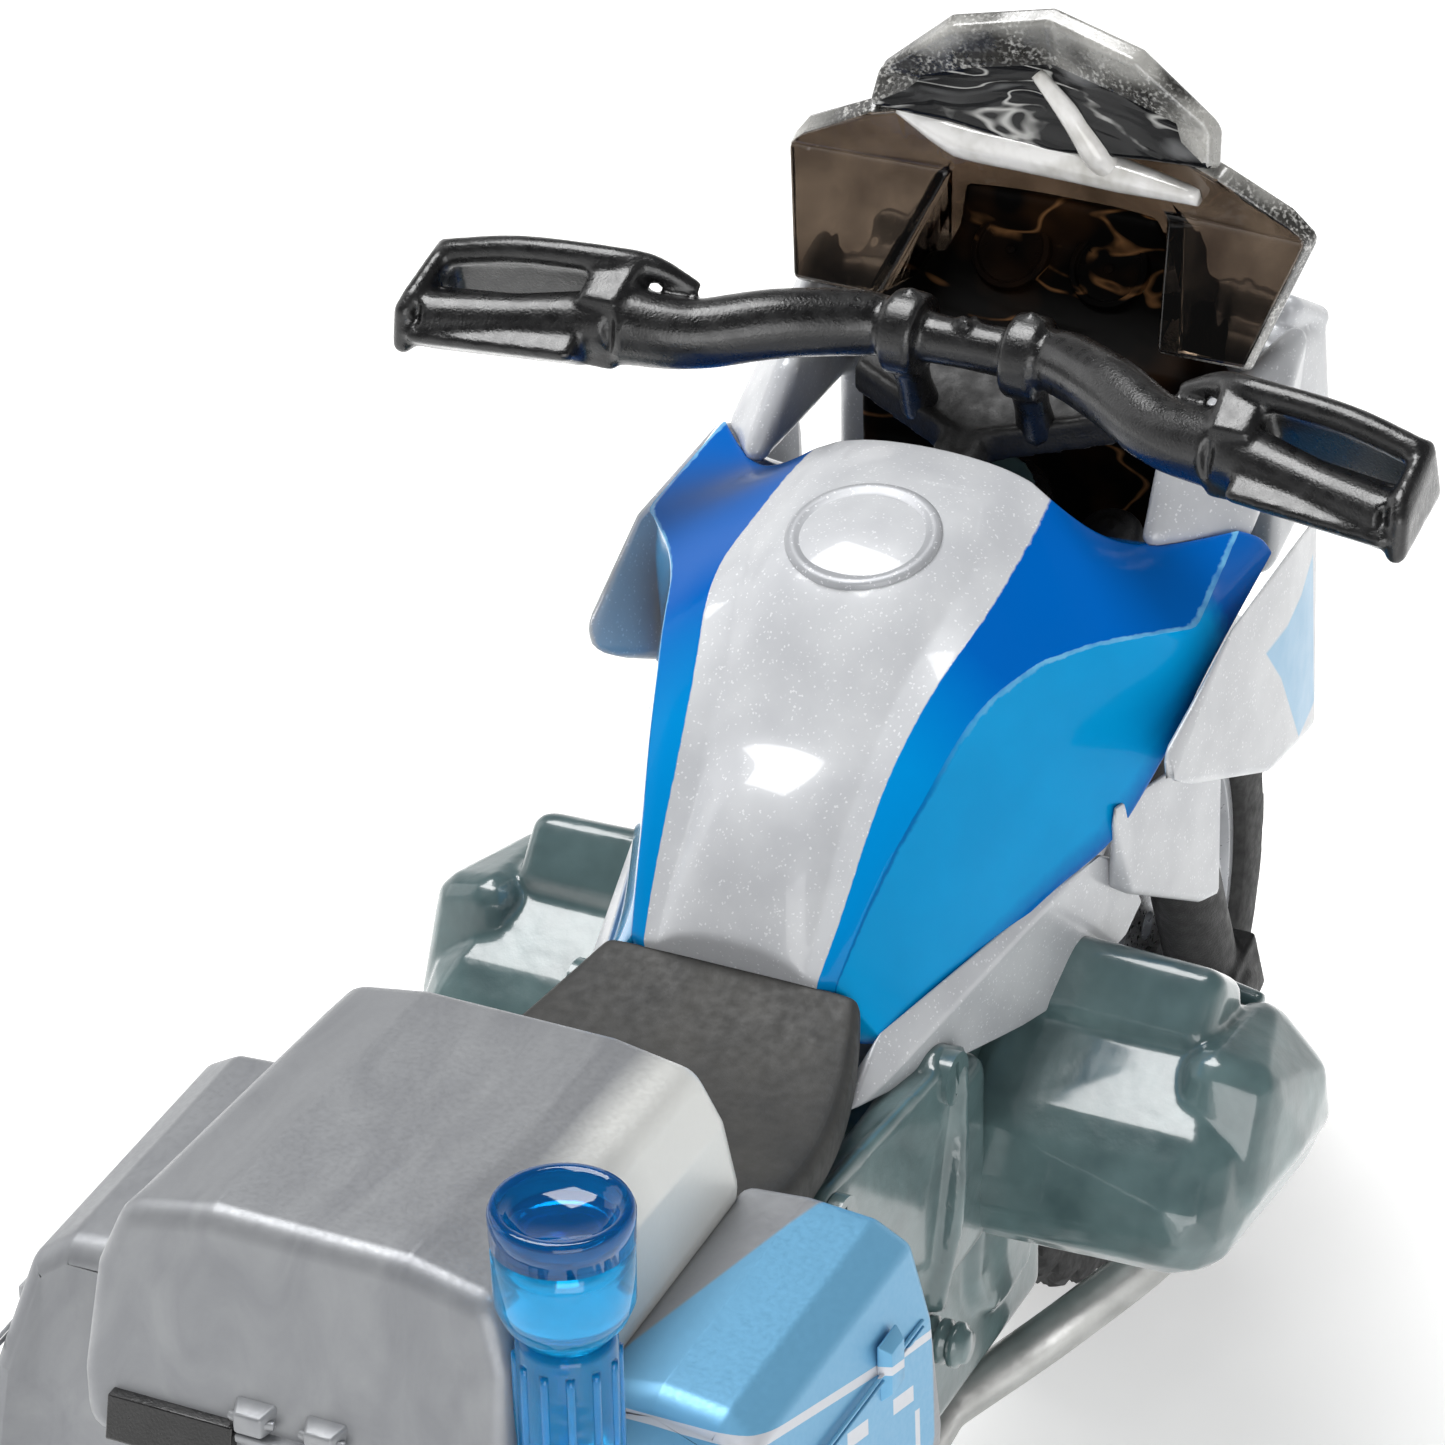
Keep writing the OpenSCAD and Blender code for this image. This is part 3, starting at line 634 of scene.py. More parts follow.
# Left half of the tank from the front lip to the seat.  Each row runs from the crown outwards:
# crown, spine, foot of the spine, edge of the band, facet, crease, flank, lower edge, tuck.
TANK_ROWS = [
    [(9.9, 0, 32.9), (9.8, 2, 32.8), (9.7, 2.9, 32.5), (9.5, 3.5, 32.3), (9.9, 5.3, 30.9),
     (12.4, 7.5, 30.6), (13.1, 8, 30.3), (13.4, 8.2, 30), (13.3, 8, 29.8)],
    [(10.2, 0, 33.9), (10.1, 2, 33.8), (10, 2.9, 33.55), (9.8, 3.5, 33.3), (10.1, 5.5, 31.7),
     (13, 7.8, 31.6), (13.6, 8.3, 31.2), (13.8, 8.5, 30.6), (13.6, 8.3, 30.2)],
    [(8.8, 0, 34.15), (8.8, 2.1, 34), (8.7, 3, 33.55), (8.5, 3.7, 33.15), (8.6, 6, 32),
     (8.8, 8.25, 30.8), (9, 8.4, 30.1), (9.4, 8.3, 29.1), (9.3, 8, 28.7)],
    [(6.8, 0, 34.2), (6.7, 2.2, 34), (6.6, 3.1, 33.35), (6.6, 3.8, 32.8), (6.6, 5.1, 32.1),
     (6.5, 6.4, 31.25), (7.2, 7.3, 29.6), (8.6, 7.8, 27.4), (8.6, 7.5, 27)],
    [(4.8, 0, 34), (4.7, 2.15, 33.8), (4.6, 3.1, 33), (4.4, 3.93, 32.5), (4.5, 4.7, 32),
     (4.6, 5.5, 31.4), (5.9, 6.5, 29), (7.7, 7.3, 26.1), (7.7, 7, 25.7)],
    [(2.9, 0, 33.4), (2.9, 1.75, 33.1), (2.9, 2.75, 32.15), (2.9, 3.68, 32), (2.8, 4.2, 31.7),
     (2.6, 4.8, 31.25), (4.1, 6, 28.3), (6.1, 7, 25.1), (6.1, 6.7, 24.7)],
    [(1.4, 0, 31.2), (1.4, 1.5, 31.25), (1.5, 2.4, 30.9), (1.7, 3.33, 31.15), (1.6, 3.85, 30.9),
     (1.4, 4.4, 30.45), (2.6, 5.4, 27.8), (4.3, 6.3, 24.9), (4.3, 6, 24.5)],
    [(0.1, 0, 29.7), (0.1, 1.3, 29.7), (0.1, 2.3, 29.6), (0.1, 3, 29.85), (0.1, 3.55, 29.65),
     (0.1, 4.05, 29.3), (1, 4.95, 27), (2.6, 5.7, 24.3), (2.6, 5.4, 23.9)],
    [(-1.1, 0, 29.7), (-1.15, 1.35, 29.45), (-1.3, 2.1, 28.15), (-1.3, 2.85, 28.25), (-1.3, 3.25, 28.2),
     (-1.2, 3.6, 28.1), (-0.5, 4.4, 26.1), (0.7, 5.1, 24), (0.7, 4.8, 23.6)],
    [(-2.5, 0, 28.2), (-2.5, 1.5, 27.9), (-2.5, 2.2, 26.7), (-2.5, 2.75, 26.7), (-2.5, 3, 26.7),
     (-2.5, 3.25, 26.6), (-1.9, 3.9, 25.2), (-1.1, 4.6, 23.7), (-1.1, 4.3, 23.4)],
    [(-3.6, 0, 26.1), (-3.6, 1.5, 25.9), (-3.6, 2.15, 25.45), (-3.6, 2.55, 25.35), (-3.5, 2.8, 25.35),
     (-3.4, 3, 25.3), (-3.3, 3.5, 24.6), (-3.1, 4.2, 23.7), (-3.1, 3.9, 23.4)],
    [(-3.5, 0, 24.3), (-3.5, 1.4, 24.2), (-3.5, 2, 24), (-3.5, 2.4, 23.9), (-3.4, 2.6, 23.9),
     (-3.3, 2.8, 23.8), (-3.2, 3.2, 23.5), (-3, 3.8, 23.2), (-3, 3.6, 23.1)],
]
# How sharp the edges along some columns and rows are.
CREASED_COLUMNS = {2: 0.5, 3: 0.6, 5: 1, 7: 0.85}
CREASED_ROWS = {1: 0.9, 10: 0.7}
BAND_COLUMN = 3
CREASE_COLUMN = 5
CREASE_FADES_FROM_ROW = 8
CORNER_ROWS = (2, 4)


def make_tank():
    """Tank skin from the rows above, rounded by subdivision and held sharp along its creases."""
    bm = bmesh.new()
    crease = bm.edges.layers.float.new("crease_edge")
    corner = bm.verts.layers.float.new("crease_vert")
    layout = bm.loops.layers.uv.new("layout")
    last = len(TANK_ROWS[0]) - 1
    ends = len(TANK_ROWS) - 1
    grid = []
    for row in TANK_ROWS:
        left = [bm.verts.new(p) for p in row]
        right = [bm.verts.new(p) for p in on_side(row[1:], -1)]
        grid.append(list(reversed(right)) + left)
    for i in range(ends):
        for j in range(2 * last):
            corners = [(i, j), (i, j + 1), (i + 1, j + 1), (i + 1, j)]
            face = bm.faces.new([grid[a][b] for a, b in corners])
            on_band = last - BAND_COLUMN <= j < last + BAND_COLUMN
            face.material_index = 2 if j >= last + CREASE_COLUMN else 0 if on_band else 1
            for loop, (a, b) in zip(face.loops, corners):
                loop[layout].uv = (abs(b - last) / last, a / ends)

    def close(vertices):
        for loop in bm.faces.new(vertices).loops:
            loop[layout].uv = (1, 0.5)

    for row in (grid[0], grid[-1]):
        close([row[last], row[last - 1], row[last + 1]])
        for j in range(1, last):
            close([row[last - j], row[last - j - 1], row[last + j + 1], row[last + j]])
    for one, two in zip(grid, grid[1:]):
        close([one[0], two[0], two[-1], one[-1]])
    for column, sharp in CREASED_COLUMNS.items():
        for i in range(ends):
            fading = 0.5 if column == CREASE_COLUMN and i >= CREASE_FADES_FROM_ROW else 1.0
            for j in (last - column, last + column):
                bm.edges.get((grid[i][j], grid[i + 1][j]))[crease] = sharp * fading
    for row, sharp in CREASED_ROWS.items():
        for j in range(2 * last):
            bm.edges.get((grid[row][j], grid[row][j + 1]))[crease] = sharp
    for i in CORNER_ROWS:
        for j in (last - CREASE_COLUMN, last + CREASE_COLUMN):
            grid[i][j][corner] = 0.75
    subdivide(make_piece("tank_skin", bm, ["tank", "tank_blue", "tank_left"], "tank_shell"), 4)


def make_filler_cap():
    """Flush round cap with a fine raised rim, tipped with the crown of the tank."""
    disc = [(0, -0.3), (2.1, -0.3), (2.14, 0.38), (2.05, 0.45), (1.95, 0.475), (1.84, 0.455), (1.74, 0.41),
            (1.6, 0.41), (0.9, 0.45), (0, 0.47)]
    bm = bmesh.new()
    add_lathe(bm, disc, axis_place((5.3, 0, 33.38), (-0.2, 0, 1)))
    add_lathe(bm, [(0, 0.3), (0.3, 0.35), (0.25, 0.5), (0, 0.52)],
              axis_place((5.8, 0.7, 33.45), (-0.2, 0, 1)), 24)
    make_piece("filler_cap_disc", bm, "cap", "filler_cap")


SIDE_COVER = [(9.3, 6.6, 21.3), (8.5, 6.4, 20.5), (5.2, 6.1, 20.4), (2.9, 5.6, 20.7), (-0.2, 5.1, 22),
              (-4.8, 4.4, 22.7), (-5.3, 4.2, 22.8), (6.6, 6.3, 24.3), (8.2, 6.6, 23.2), (6, 6.6, 24.8),
              (4.3, 6.1, 24.7), (2.6, 5.5, 24.2), (0.7, 4.9, 23.9), (-1.1, 4.4, 23.7), (-3.1, 4.1, 23.9),
              (5.2, 5.2, 20.6), (0, 4.4, 21.6), (-5, 3.6, 22.6)]
SHROUD = [(6, 8.4, 28.4), (5.6, 8.7, 27.6), (9.4, 8.9, 30.4), (14.6, 8.9, 30.6), (18.6, 8, 29.2),
          (17.8, 8.4, 22.6), (12, 9.3, 24.6), (16, 7.4, 22.4), (9.6, 7.6, 26)]
LEFT_SHROUD = [(6, 9, 28.4), (5.6, 8.5, 27.6)] + SHROUD[2:-2] + [(16, 6.6, 22.4), (9.6, 7, 25.6)]
LOWER_COVER = [(5.6, 7, 26.6), (6.6, 7.3, 23.2), (11.2, 7.7, 20.2), (12.6, 7.6, 19.6), (13.6, 7.2, 24.6),
               (12.8, 6.4, 20), (6.8, 6.4, 23.2)]


def make_panel(name, points, look, edge, replaces=None, radius=0.0):
    """Piece that is one convex block; edge gives the width and segments of its bevel."""
    bm = bmesh.new()
    add_hull(bm, points, radius)
    bevel(make_piece(name, bm, look, replaces), *edge)


def make_turned(name, profile, place, look, replaces=None, steps=64):
    """Piece that is one turned shape."""
    bm = bmesh.new()
    add_lathe(bm, profile, place, steps)
    make_piece(name, bm, look, replaces)


def make_side_panels():
    for side, word, look, shroud in ((1, "left", "silver", LEFT_SHROUD), (-1, "right", "printed", SHROUD)):
        make_panel(word + "_side_cover_panel", on_side(SIDE_COVER, side), "silver", (0.45, 4),
                   word + "_side_cover")
        make_panel(word + "_shroud_panel", on_side(shroud, side), look, (0.4, 4), word + "_shroud")
        make_panel(word + "_lower_cover", on_side(LOWER_COVER, side), "silver", (0.35, 3))


def make_fairing():
    bm = bmesh.new()
    add_hull(bm, both_sides([(18.6, 6.2, 27.4), (19, 6.3, 33.6), (22.6, 6, 32.6), (23, 6.1, 28.6),
                             (24.6, 3.2, 30.4), (24.2, 3, 27.8), (21.4, 4.6, 26.4)]), 0.6)
    add_hull(bm, both_sides([(20.6, 6.3, 34.4), (22.8, 6.3, 33), (20, 5.4, 33), (22, 5.4, 32)]), 0.35)
    arm = [(11.2, 6, 31.9), (12.9, 5.8, 33.7), (13.6, 7.6, 31.2), (18.6, 7.2, 34.6), (19.8, 6.5, 31.4),
           (18.4, 6.7, 31)]
    for side in (1, -1):
        add_hull(bm, on_side(arm, side), 0.35)
    melt(make_piece("nose_fairing", bm, "silver", "front_fairing"), 0.13, 6)


# ---- screen, cockpit and lamps ----

WING = {
    "low": (16.1, 6.9, 34.7), "corner": (18.3, 8, 38.1), "upper": (17.9, 7.3, 39.1), "end": (17.9, 5.4, 40),
    "fold_top": (19.3, 3.6, 37.9), "fold_low": (16.3, 4.7, 34.6), "root": (20.6, 4.4, 34.4),
    "brow": (18.9, 3.3, 40.1),
}
VISOR = {
    "end": (17.7, 5.3, 39.9), "side": (18.2, 5.15, 41), "shoulder": (17.9, 2.9, 43.1),
    "top": (18.4, 0, 43.6), "in_end": (18.1, 4.3, 40.4), "in_side": (18.7, 3.9, 40.9),
    "in_shoulder": (18.5, 2.2, 41.6), "in_top": (18.9, 0, 41.9), "lip": (18.35, 3, 39.55),
    "lip_mid": (18.3, 0, 39.3),
}


def add_facets(bm, corners, faces):
    """Flat faces named by their corners, on the left and mirrored on the right."""
    made = {}

    def corner(name, side):
        x, y, z = corners[name]
        key = (name, side if y else 0)
        if key not in made:
            made[key] = bm.verts.new((x, y * side, z))
        return made[key]

    for side in (1, -1):
        for names, index in faces:
            loop = [corner(n, side) for n in names]
            face = bm.faces.new(loop if side < 0 else list(reversed(loop)))
            face.material_index = index


def make_screen():
    middle = dict(WING, root_mid=(20.9, 0, 34.4), fold_mid=(20.1, 0, 38.1), brow_mid=(19.2, 0, 39.9))
    bm = bmesh.new()
    add_facets(bm, middle, [
        (["fold_low", "low", "corner"], 0), (["fold_low", "corner", "fold_top"], 0),
        (["corner", "upper", "end"], 0), (["corner", "end", "fold_top"], 0),
        (["fold_top", "end", "brow"], 0), (["root", "fold_low", "fold_top"], 0),
        (["root", "fold_top", "fold_mid", "root_mid"], 2), (["fold_top", "brow", "brow_mid", "fold_mid"], 2),
    ])
    screen = make_piece("smoked_screen", bm, ["smoked", "frosted", "smoked_deep"], "windscreen")
    wall = thicken(screen, 0.65)
    wall.material_offset_rim = 1
    bevel(screen, 0.16, 2, 30)
    bm = bmesh.new()
    add_facets(bm, VISOR, [
        (["end", "side", "in_side", "in_end"], 1), (["side", "shoulder", "in_shoulder", "in_side"], 1),
        (["shoulder", "top", "in_top", "in_shoulder"], 1), (["end", "in_end", "lip"], 0),
        (["in_end", "in_side", "in_shoulder", "lip"], 0), (["in_shoulder", "in_top", "lip_mid", "lip"], 0),
    ])
    visor = make_piece("screen_visor", bm, ["visor", "frosted"])
    thicken(visor, 0.7)
    bevel(visor, 0.2, 3, 20)
    # The ridge along the visor's lower edge is coloured near-white: a painted highlight.
    bm = bmesh.new()
    lip = [(17.75, 4.5, 39.9), (18, 2.7, 39.2), (18, 0.4, 39.1), (18, -2.2, 38.95), (17.7, -4.6, 38.9)]
    branch = [(18, 0.4, 41.6), (17.8, -0.7, 40.6), (17.75, -1.5, 39.6), (18, -1.9, 39)]
    add_tube(bm, lip, [0.2, 0.6, 0.58, 0.5, 0.25], 16, 8)
    add_tube(bm, branch, [0.2, 0.33, 0.42, 0.38], 14, 8)
    make_piece("visor_lip", bm, "bright_edge")


def make_cockpit():
    """Black panel behind the screen, with two round dials and a row of buttons."""
    bm = bmesh.new()
    add_hull(bm, both_sides([(19.7, 3.5, 34.4), (18.9, 2.8, 37.2), (20.1, 3.4, 34.4), (19.4, 2.7, 37)]),
             0.15)
    add_hull(bm, both_sides([(18.6, 3.4, 34.6), (20.6, 3.6, 34.4), (19.4, 3, 35.6), (20.6, 3, 36)]), 0.3)
    add_hull(bm, both_sides([(16.8, 5.2, 33), (16.8, 5, 33.5), (18.8, 4.6, 34.8), (19.2, 5, 33)]), 0.2)
    add_hull(bm, both_sides([(17.5, 5.4, 27.2), (18, 5.4, 27.2), (17.3, 5.3, 33.2), (18.2, 5.3, 33.2)]), 0.2)
    melt(make_piece("cockpit_panel", bm, "dash", "instrument_panel"), 0.12, 4)
    dial = [(0, 0), (1.15, 0), (1.2, 0.12), (1.15, 0.34), (1, 0.38), (0.95, 0.25), (0, 0.22)]
    bm = bmesh.new()
    for y in (-1.5, 1.5):
        place = axis_place((18.95, y, 35.35), (-0.75, 0, 0.65))
        add_lathe(bm, dial, place, 40)
        add_lathe(bm, [(0, 0.15), (0.14, 0.2), (0.14, 0.3), (0, 0.33)], place, 16)
        for k in range(9):
            tick = place @ Matrix.Rotation(math.radians(-120 + 30 * k), 4, "Z")
            add_hull(bm, [tick @ Vector(p) for p in box((-0.03, 0.03), (0.72, 0.9), (0.2, 0.27))])
    for k in range(4):
        y = -0.9 + 0.6 * k
        add_hull(bm, box((19.35, 19.65), (y - 0.18, y + 0.18), (35.65, 35.87)), 0.04)
    bevel(make_piece("cockpit_dials", bm, "dash"), 0.03, 2, 40)


def make_headlight():
    """Round lamp in the nose: a domed glass over a polished bowl."""
    place = axis_place((23.9, 0, 30), (0.985, 0, 0.17))
    dome = [(0, -0.1), (2.35, -0.1), (2.42, 0.3), (2.4, 1.15), (2.2, 1.4), (1.6, 1.62), (0.8, 1.75),
            (0, 1.8)]
    bowl = [(0, 0.05), (0.7, 0.08), (1.5, 0.42), (2.1, 1), (2.15, 1.05), (2.2, 0.9), (1.6, 0.2),
            (0, -0.05)]
    make_turned("headlight_glass", dome, place, "clear", "headlight_lens")
    make_turned("headlight_reflector", bowl, place, "mirror")


# ---- handlebar and steering ----

FRONT_HUB = (21.7, 0, 10.1)
REAR_HUB = (-21.9, 0, 9.9)
STEERING_LEAN = math.radians(22)
FORK_OFFSET = 0.8


def steer_point(forward, left, up):
    """A point of the steering frame: up runs along the steering axis, which leans back."""
    ahead = Vector((math.cos(STEERING_LEAN), 0, math.sin(STEERING_LEAN)))
    along = Vector((-math.sin(STEERING_LEAN), 0, math.cos(STEERING_LEAN)))
    base = Vector((FRONT_HUB[0] - FORK_OFFSET * math.cos(STEERING_LEAN), 0,
                   FRONT_HUB[2] - FORK_OFFSET * math.sin(STEERING_LEAN)))
    return base + ahead * forward + Vector((0, left, 0)) + along * up


def steer_place(forward, left):
    return axis_place(steer_point(forward, left, 0), steer_point(0, 0, 1) - steer_point(0, 0, 0))


def make_handlebar():
    """Bar with clamps, collars, grips and hand guards, as one black moulding."""
    bm = bmesh.new()
    bar = [(12.3, 0, 36), (12.3, 1.8, 36), (12, 3, 36.2), (10.6, 5, 36.45), (9.3, 7, 36.35),
           (8.8, 8.9, 36.5)]
    grip = [(8.7, 9.2, 36.5), (8, 11.8, 36.35), (7.3, 14.2, 36.3)]
    clamp = [(0, -0.5), (1.12, -0.5), (1.2, -0.42), (1.2, 0.42), (1.12, 0.5), (0, 0.5)]
    clamp_lug = [(12, 1.35, 37), (12.9, 1.35, 36.9), (12, 2.25, 37), (12.9, 2.25, 36.9), (12.5, 1.8, 37.25)]
    collar = [(9.5, 8.75, 37.95), (9.6, 9.75, 37.95), (8.1, 8.9, 35.65), (8.1, 9.8, 35.65), (10, 8.8, 36.9),
              (10.1, 9.8, 36.9), (8.3, 8.9, 37.4), (8.3, 9.7, 37.4)]
    guard_wall = [(9.65, 9.6, 37.9), (10.2, 9.6, 36.3), (9.3, 14.3, 37.35), (9.75, 14.3, 36)]
    guard_rim = [(10.2, 7.2, 37.2), (9.9, 8.4, 37.8), (9.5, 9.6, 38), (9.25, 12.2, 37.9), (8.95, 14.4, 37.5)]
    guard_end = [(9.15, 14.45, 37.55), (9.5, 14.5, 36.1), (6.85, 14.6, 36.7), (6.7, 14.6, 35.75),
                 (7.2, 14.5, 37)]
    guard_bar = [(8.7, 9.8, 36.95), (7.1, 9.8, 36.2), (8.2, 9.8, 35.5), (8, 14.2, 36.8), (6.5, 14.2, 36.15),
                 (7.6, 14.2, 35.4)]
    for side in (1, -1):
        add_tube(bm, on_side(bar, side), [0.68, 0.72, 0.93, 0.98, 0.98, 1.12], 24)
        add_tube(bm, on_side(grip, side), [0.95, 0.8, 0.8], 24)
        add_lathe(bm, clamp, axis_place((12.3, 1.8 * side, 36), (0, 1, 0)), 40)
        add_hull(bm, on_side(clamp_lug, side), 0.08)
        add_hull(bm, on_side(collar, side), 0.22)
        add_hull(bm, on_side(guard_wall, side), 0.2)
        add_tube(bm, on_side(guard_rim, side), [0.25, 0.38, 0.42, 0.42, 0.42], 16)
        add_hull(bm, on_side(guard_end, side), 0.3)
        add_hull(bm, on_side(guard_bar, side), 0.18)
        low = steer_point(1.45, 1.75 * side, 24.75)
        high = steer_point(1.45, 1.8 * side, 27)
        add_tube(bm, [low, (low + high) * 0.5, high], [0.6, 0.5, 0.55])
    for x, y, z in ((12.1, 0.15, 36.75), (12.35, -0.2, 36.7), (12, -0.05, 36.85)):
        add_hull(bm, [(x, y, z), (x + 0.3, y + 0.15, z + 0.02)], 0.09)
    melt(make_piece("bar_and_guards", bm, "black_bar", "handlebar", "steering_front_end"), 0.11, 4)


def make_fork():
    """Fork legs with their axle clamps, and the two bridges with the steering stem."""
    bm = bmesh.new()
    leg = [(0, -0.9), (1, -0.9), (1.1, -0.7), (1.1, 10.4), (1, 10.6), (0.85, 10.7), (0.85, 21), (0.95, 21.1),
           (0.95, 21.6), (0.8, 21.8), (0.4, 21.85), (0.35, 22), (0, 22)]
    for side in (1, -1):
        add_lathe(bm, leg, steer_place(FORK_OFFSET, 3.7 * side), 40)
        clamp = box((-0.5, 2.1), (3.75 * side - 1.1, 3.75 * side + 1.1), (-1.2, 1.2))
        add_hull(bm, [steer_point(*p) for p in clamp], 0.1)
        add_lathe(bm, [(0, -0.3), (0.75, -0.3), (0.8, 0), (0.7, 0.18), (0, 0.2)],
                  axis_place((FRONT_HUB[0], 4.95 * side, FRONT_HUB[2]), (0, side, 0)), 30)
    bridge = [(2, 4.6), (-0.3, 4.6), (-1.8, 1.2), (-1.8, -1.2), (-0.3, -4.6), (2, -4.6)]
    add_hull(bm, [steer_point(f, y, u) for f, y in bridge for u in (15.3, 16.6)], 0.12)
    plate = both_sides([(12, 0.45, 33.2), (13.5, 3.9, 33.8), (15.2, 4, 34.5), (15.4, 1.5, 34.6)])
    add_hull(bm, plate + [(x, y, z - 0.6) for x, y, z in plate], 0.1)
    for side in (1, -1):
        add_tube(bm, on_side([(12, 0.3, 33.35), (12.75, 2.1, 33.65), (13.5, 3.9, 33.95)], side), 0.17, 12)
    stem = [(0, 23.25), (0.7, 23.25), (0.75, 25.1), (0.65, 25.2), (0.3, 25.2), (0.25, 25.1), (0, 25.1)]
    add_lathe(bm, stem, steer_place(0.1, 0), 30)
    melt(make_piece("fork_legs_and_plates", bm, "black_matte", "fork", "steering_front_end"), 0.12, 3)


def make_steering_head():
    """Ribbed black boot round the head tube, and the louvred blocks beside it."""
    bm = bmesh.new()
    profile = [(0, 18), (1.92, 18)]
    for k in range(7):
        profile += [(2.3, 18.2 + 0.7 * k), (2.3, 18.45 + 0.7 * k), (2, 18.6 + 0.7 * k)]
    add_lathe(bm, profile + [(1.92, 23), (0, 23)], steer_place(0, 0), 40)
    block = [(10.6, 2.8, 27.6), (12.1, 2.8, 27.6), (10.6, 5.8, 27.6), (12.1, 5.8, 27.6), (11.1, 2.8, 29.6),
             (11.1, 5.6, 29.2)]
    for side in (1, -1):
        for k in range(4):
            louvre = [(10.0 + 0.1 * k, 2.9 + 0.75 * k, 30.9 - 0.2 * k), (10.3, 3.1 + 0.75 * k, 28),
                      (11, 3.0 + 0.7 * k, 30.2 - 0.2 * k), (12.1, 3.2 + 0.7 * k, 27.5)]
            add_hull(bm, on_side(louvre, side), 0.18)
        add_hull(bm, on_side(block, side), 0.25)
    melt(make_piece("steering_head_boot", bm, "black_gloss"), 0.12, 2)


# ---- wheels ----

def wheel_place(hub):
    """Matrix that puts local Z along the axle of a wheel."""
    return Matrix.Translation(Vector(hub)) @ Matrix.Rotation(math.radians(90), 4, "X")


def add_tread(bm, place, radius, width, rim):
    """Tyre with a rounded section and cross grooves in its tread."""
    half = width / 2
    section = [(rim, -half + 0.5), (rim + 0.25, -half + 0.05), (rim + 1, -half),
               (radius - 0.75, -half + 0.02), (radius - 0.42, -half + 0.12), (radius - 0.16, -half + 0.42),
               (radius - 0.02, -half + 0.8), (radius, -half * 0.34), (radius, -half * 0.1)]
    section = section + [(r, -h) for r, h in reversed(section)]
    blocks = 30
    steps_per_block = 6
    middle = (len(section) - 1) / 2

    def groove(i, j):
        place_in_block = (i + 2 * abs(j - middle)) % steps_per_block
        return 0.3 if place_in_block < 2 and abs(j - middle) < 5 else 0.0

    add_ring(bm, section, place, blocks * steps_per_block, groove)


def make_wheel(word, hub, width, hub_half):
    """Tyre and spoked rim of a wheel that stands on the ground, so its hub's height is its radius."""
    radius = hub[2]
    rim = radius - 2.4
    half = width / 2 - 0.35
    place = wheel_place(hub)
    bm = bmesh.new()
    add_tread(bm, place, radius, width, rim)
    make_piece(word + "_tyre_tread", bm, "rubber", word + "_tyre", word + "_wheel")
    bm = bmesh.new()
    add_ring(bm, [(rim, -half), (rim + 0.02, -half + 0.3), (rim - 0.1, -half + 0.6), (rim, 0),
                  (rim - 0.1, half - 0.6), (rim + 0.02, half - 0.3), (rim, half), (rim - 0.45, half + 0.05),
                  (rim - 0.7, half - 0.35), (rim - 0.85, 0), (rim - 0.7, -half + 0.35),
                  (rim - 0.45, -half - 0.05)], place, 96)
    add_ring(bm, [(1.5, -hub_half), (1.5, hub_half), (1.3, hub_half), (0.62, hub_half - 0.02),
                  (0.62, -hub_half + 0.02), (1.3, -hub_half)], place, 48)
    for k, angle in enumerate(around(10)):
        turn = place @ Matrix.Rotation(angle, 4, "Z")
        lean = 0.28 if k % 2 else -0.28
        for side in (1, -1):
            inner = [(1.35, y, h) for h in (0.75, 0.35) for y in (-0.32, 0.32)]
            outer = [(rim - 0.5, lean + y, half * h) for h in (0.8, 0.4) for y in (-0.24, 0.24)]
            add_hull(bm, [turn @ Vector((px, py, pz * side)) for px, py, pz in inner + outer], 0.07)
    bevel(make_piece(word + "_spoked_rim", bm, "wheel", word + "_rim", word + "_wheel"), 0.06, 2, 40)


def make_mudguard(word, look, body, place, radius, angles, section):
    """Curved sheet over a wheel; section gives its (across, drop) points at a place from 0 to 1."""
    bm = bmesh.new()
    rows = []
    for i, angle in enumerate(angles):
        rows.append([bm.verts.new(place @ polar(radius - drop, math.radians(angle), across))
                     for across, drop in section(i / (len(angles) - 1))])
    for one, two in zip(rows, rows[1:]):
        add_strip(bm, one, two, closed=False)
    guard = make_piece(word + "_mudguard_shell", bm, look, word + "_mudguard", body)
    thicken(guard, 0.45, 0)
    subdivide(guard, 1)


def make_mudguards():
    """Front guard, deepest half way along, and rear guard with the bracket that carries it."""
    def whole(half, middle):
        return half + [middle] + [(-across, drop) for across, drop in reversed(half)]

    def flared(along):
        depth = 1.4 + 0.6 * math.sin(math.pi * along)
        return whole([(-2.5, depth), (-2.52, 0.6), (-2.1, 0.12), (-1, -0.05)], (0, -0.1))

    def plain(_):
        return whole([(-2.9, 0.9), (-2.95, 0.35), (-2.5, 0.05), (-1.2, 0)], (0, 0))

    make_mudguard("front", "silver", "steering_front_end", wheel_place(FRONT_HUB), 11.05,
                  [34 + 4.2 * i for i in range(25)], flared)
    make_mudguard("rear", "black", "motorcycle", wheel_place(REAR_HUB), 11.1,
                  [72 + 3.7 * i for i in range(21)], plain)
    bm = bmesh.new()
    add_hull(bm, box((-25.2, -24.6), (-1.3, 1.3), (20.3, 23.3)), 0.15)
    make_piece("rear_mudguard_bracket", bm, "black")


# ---- engine ----

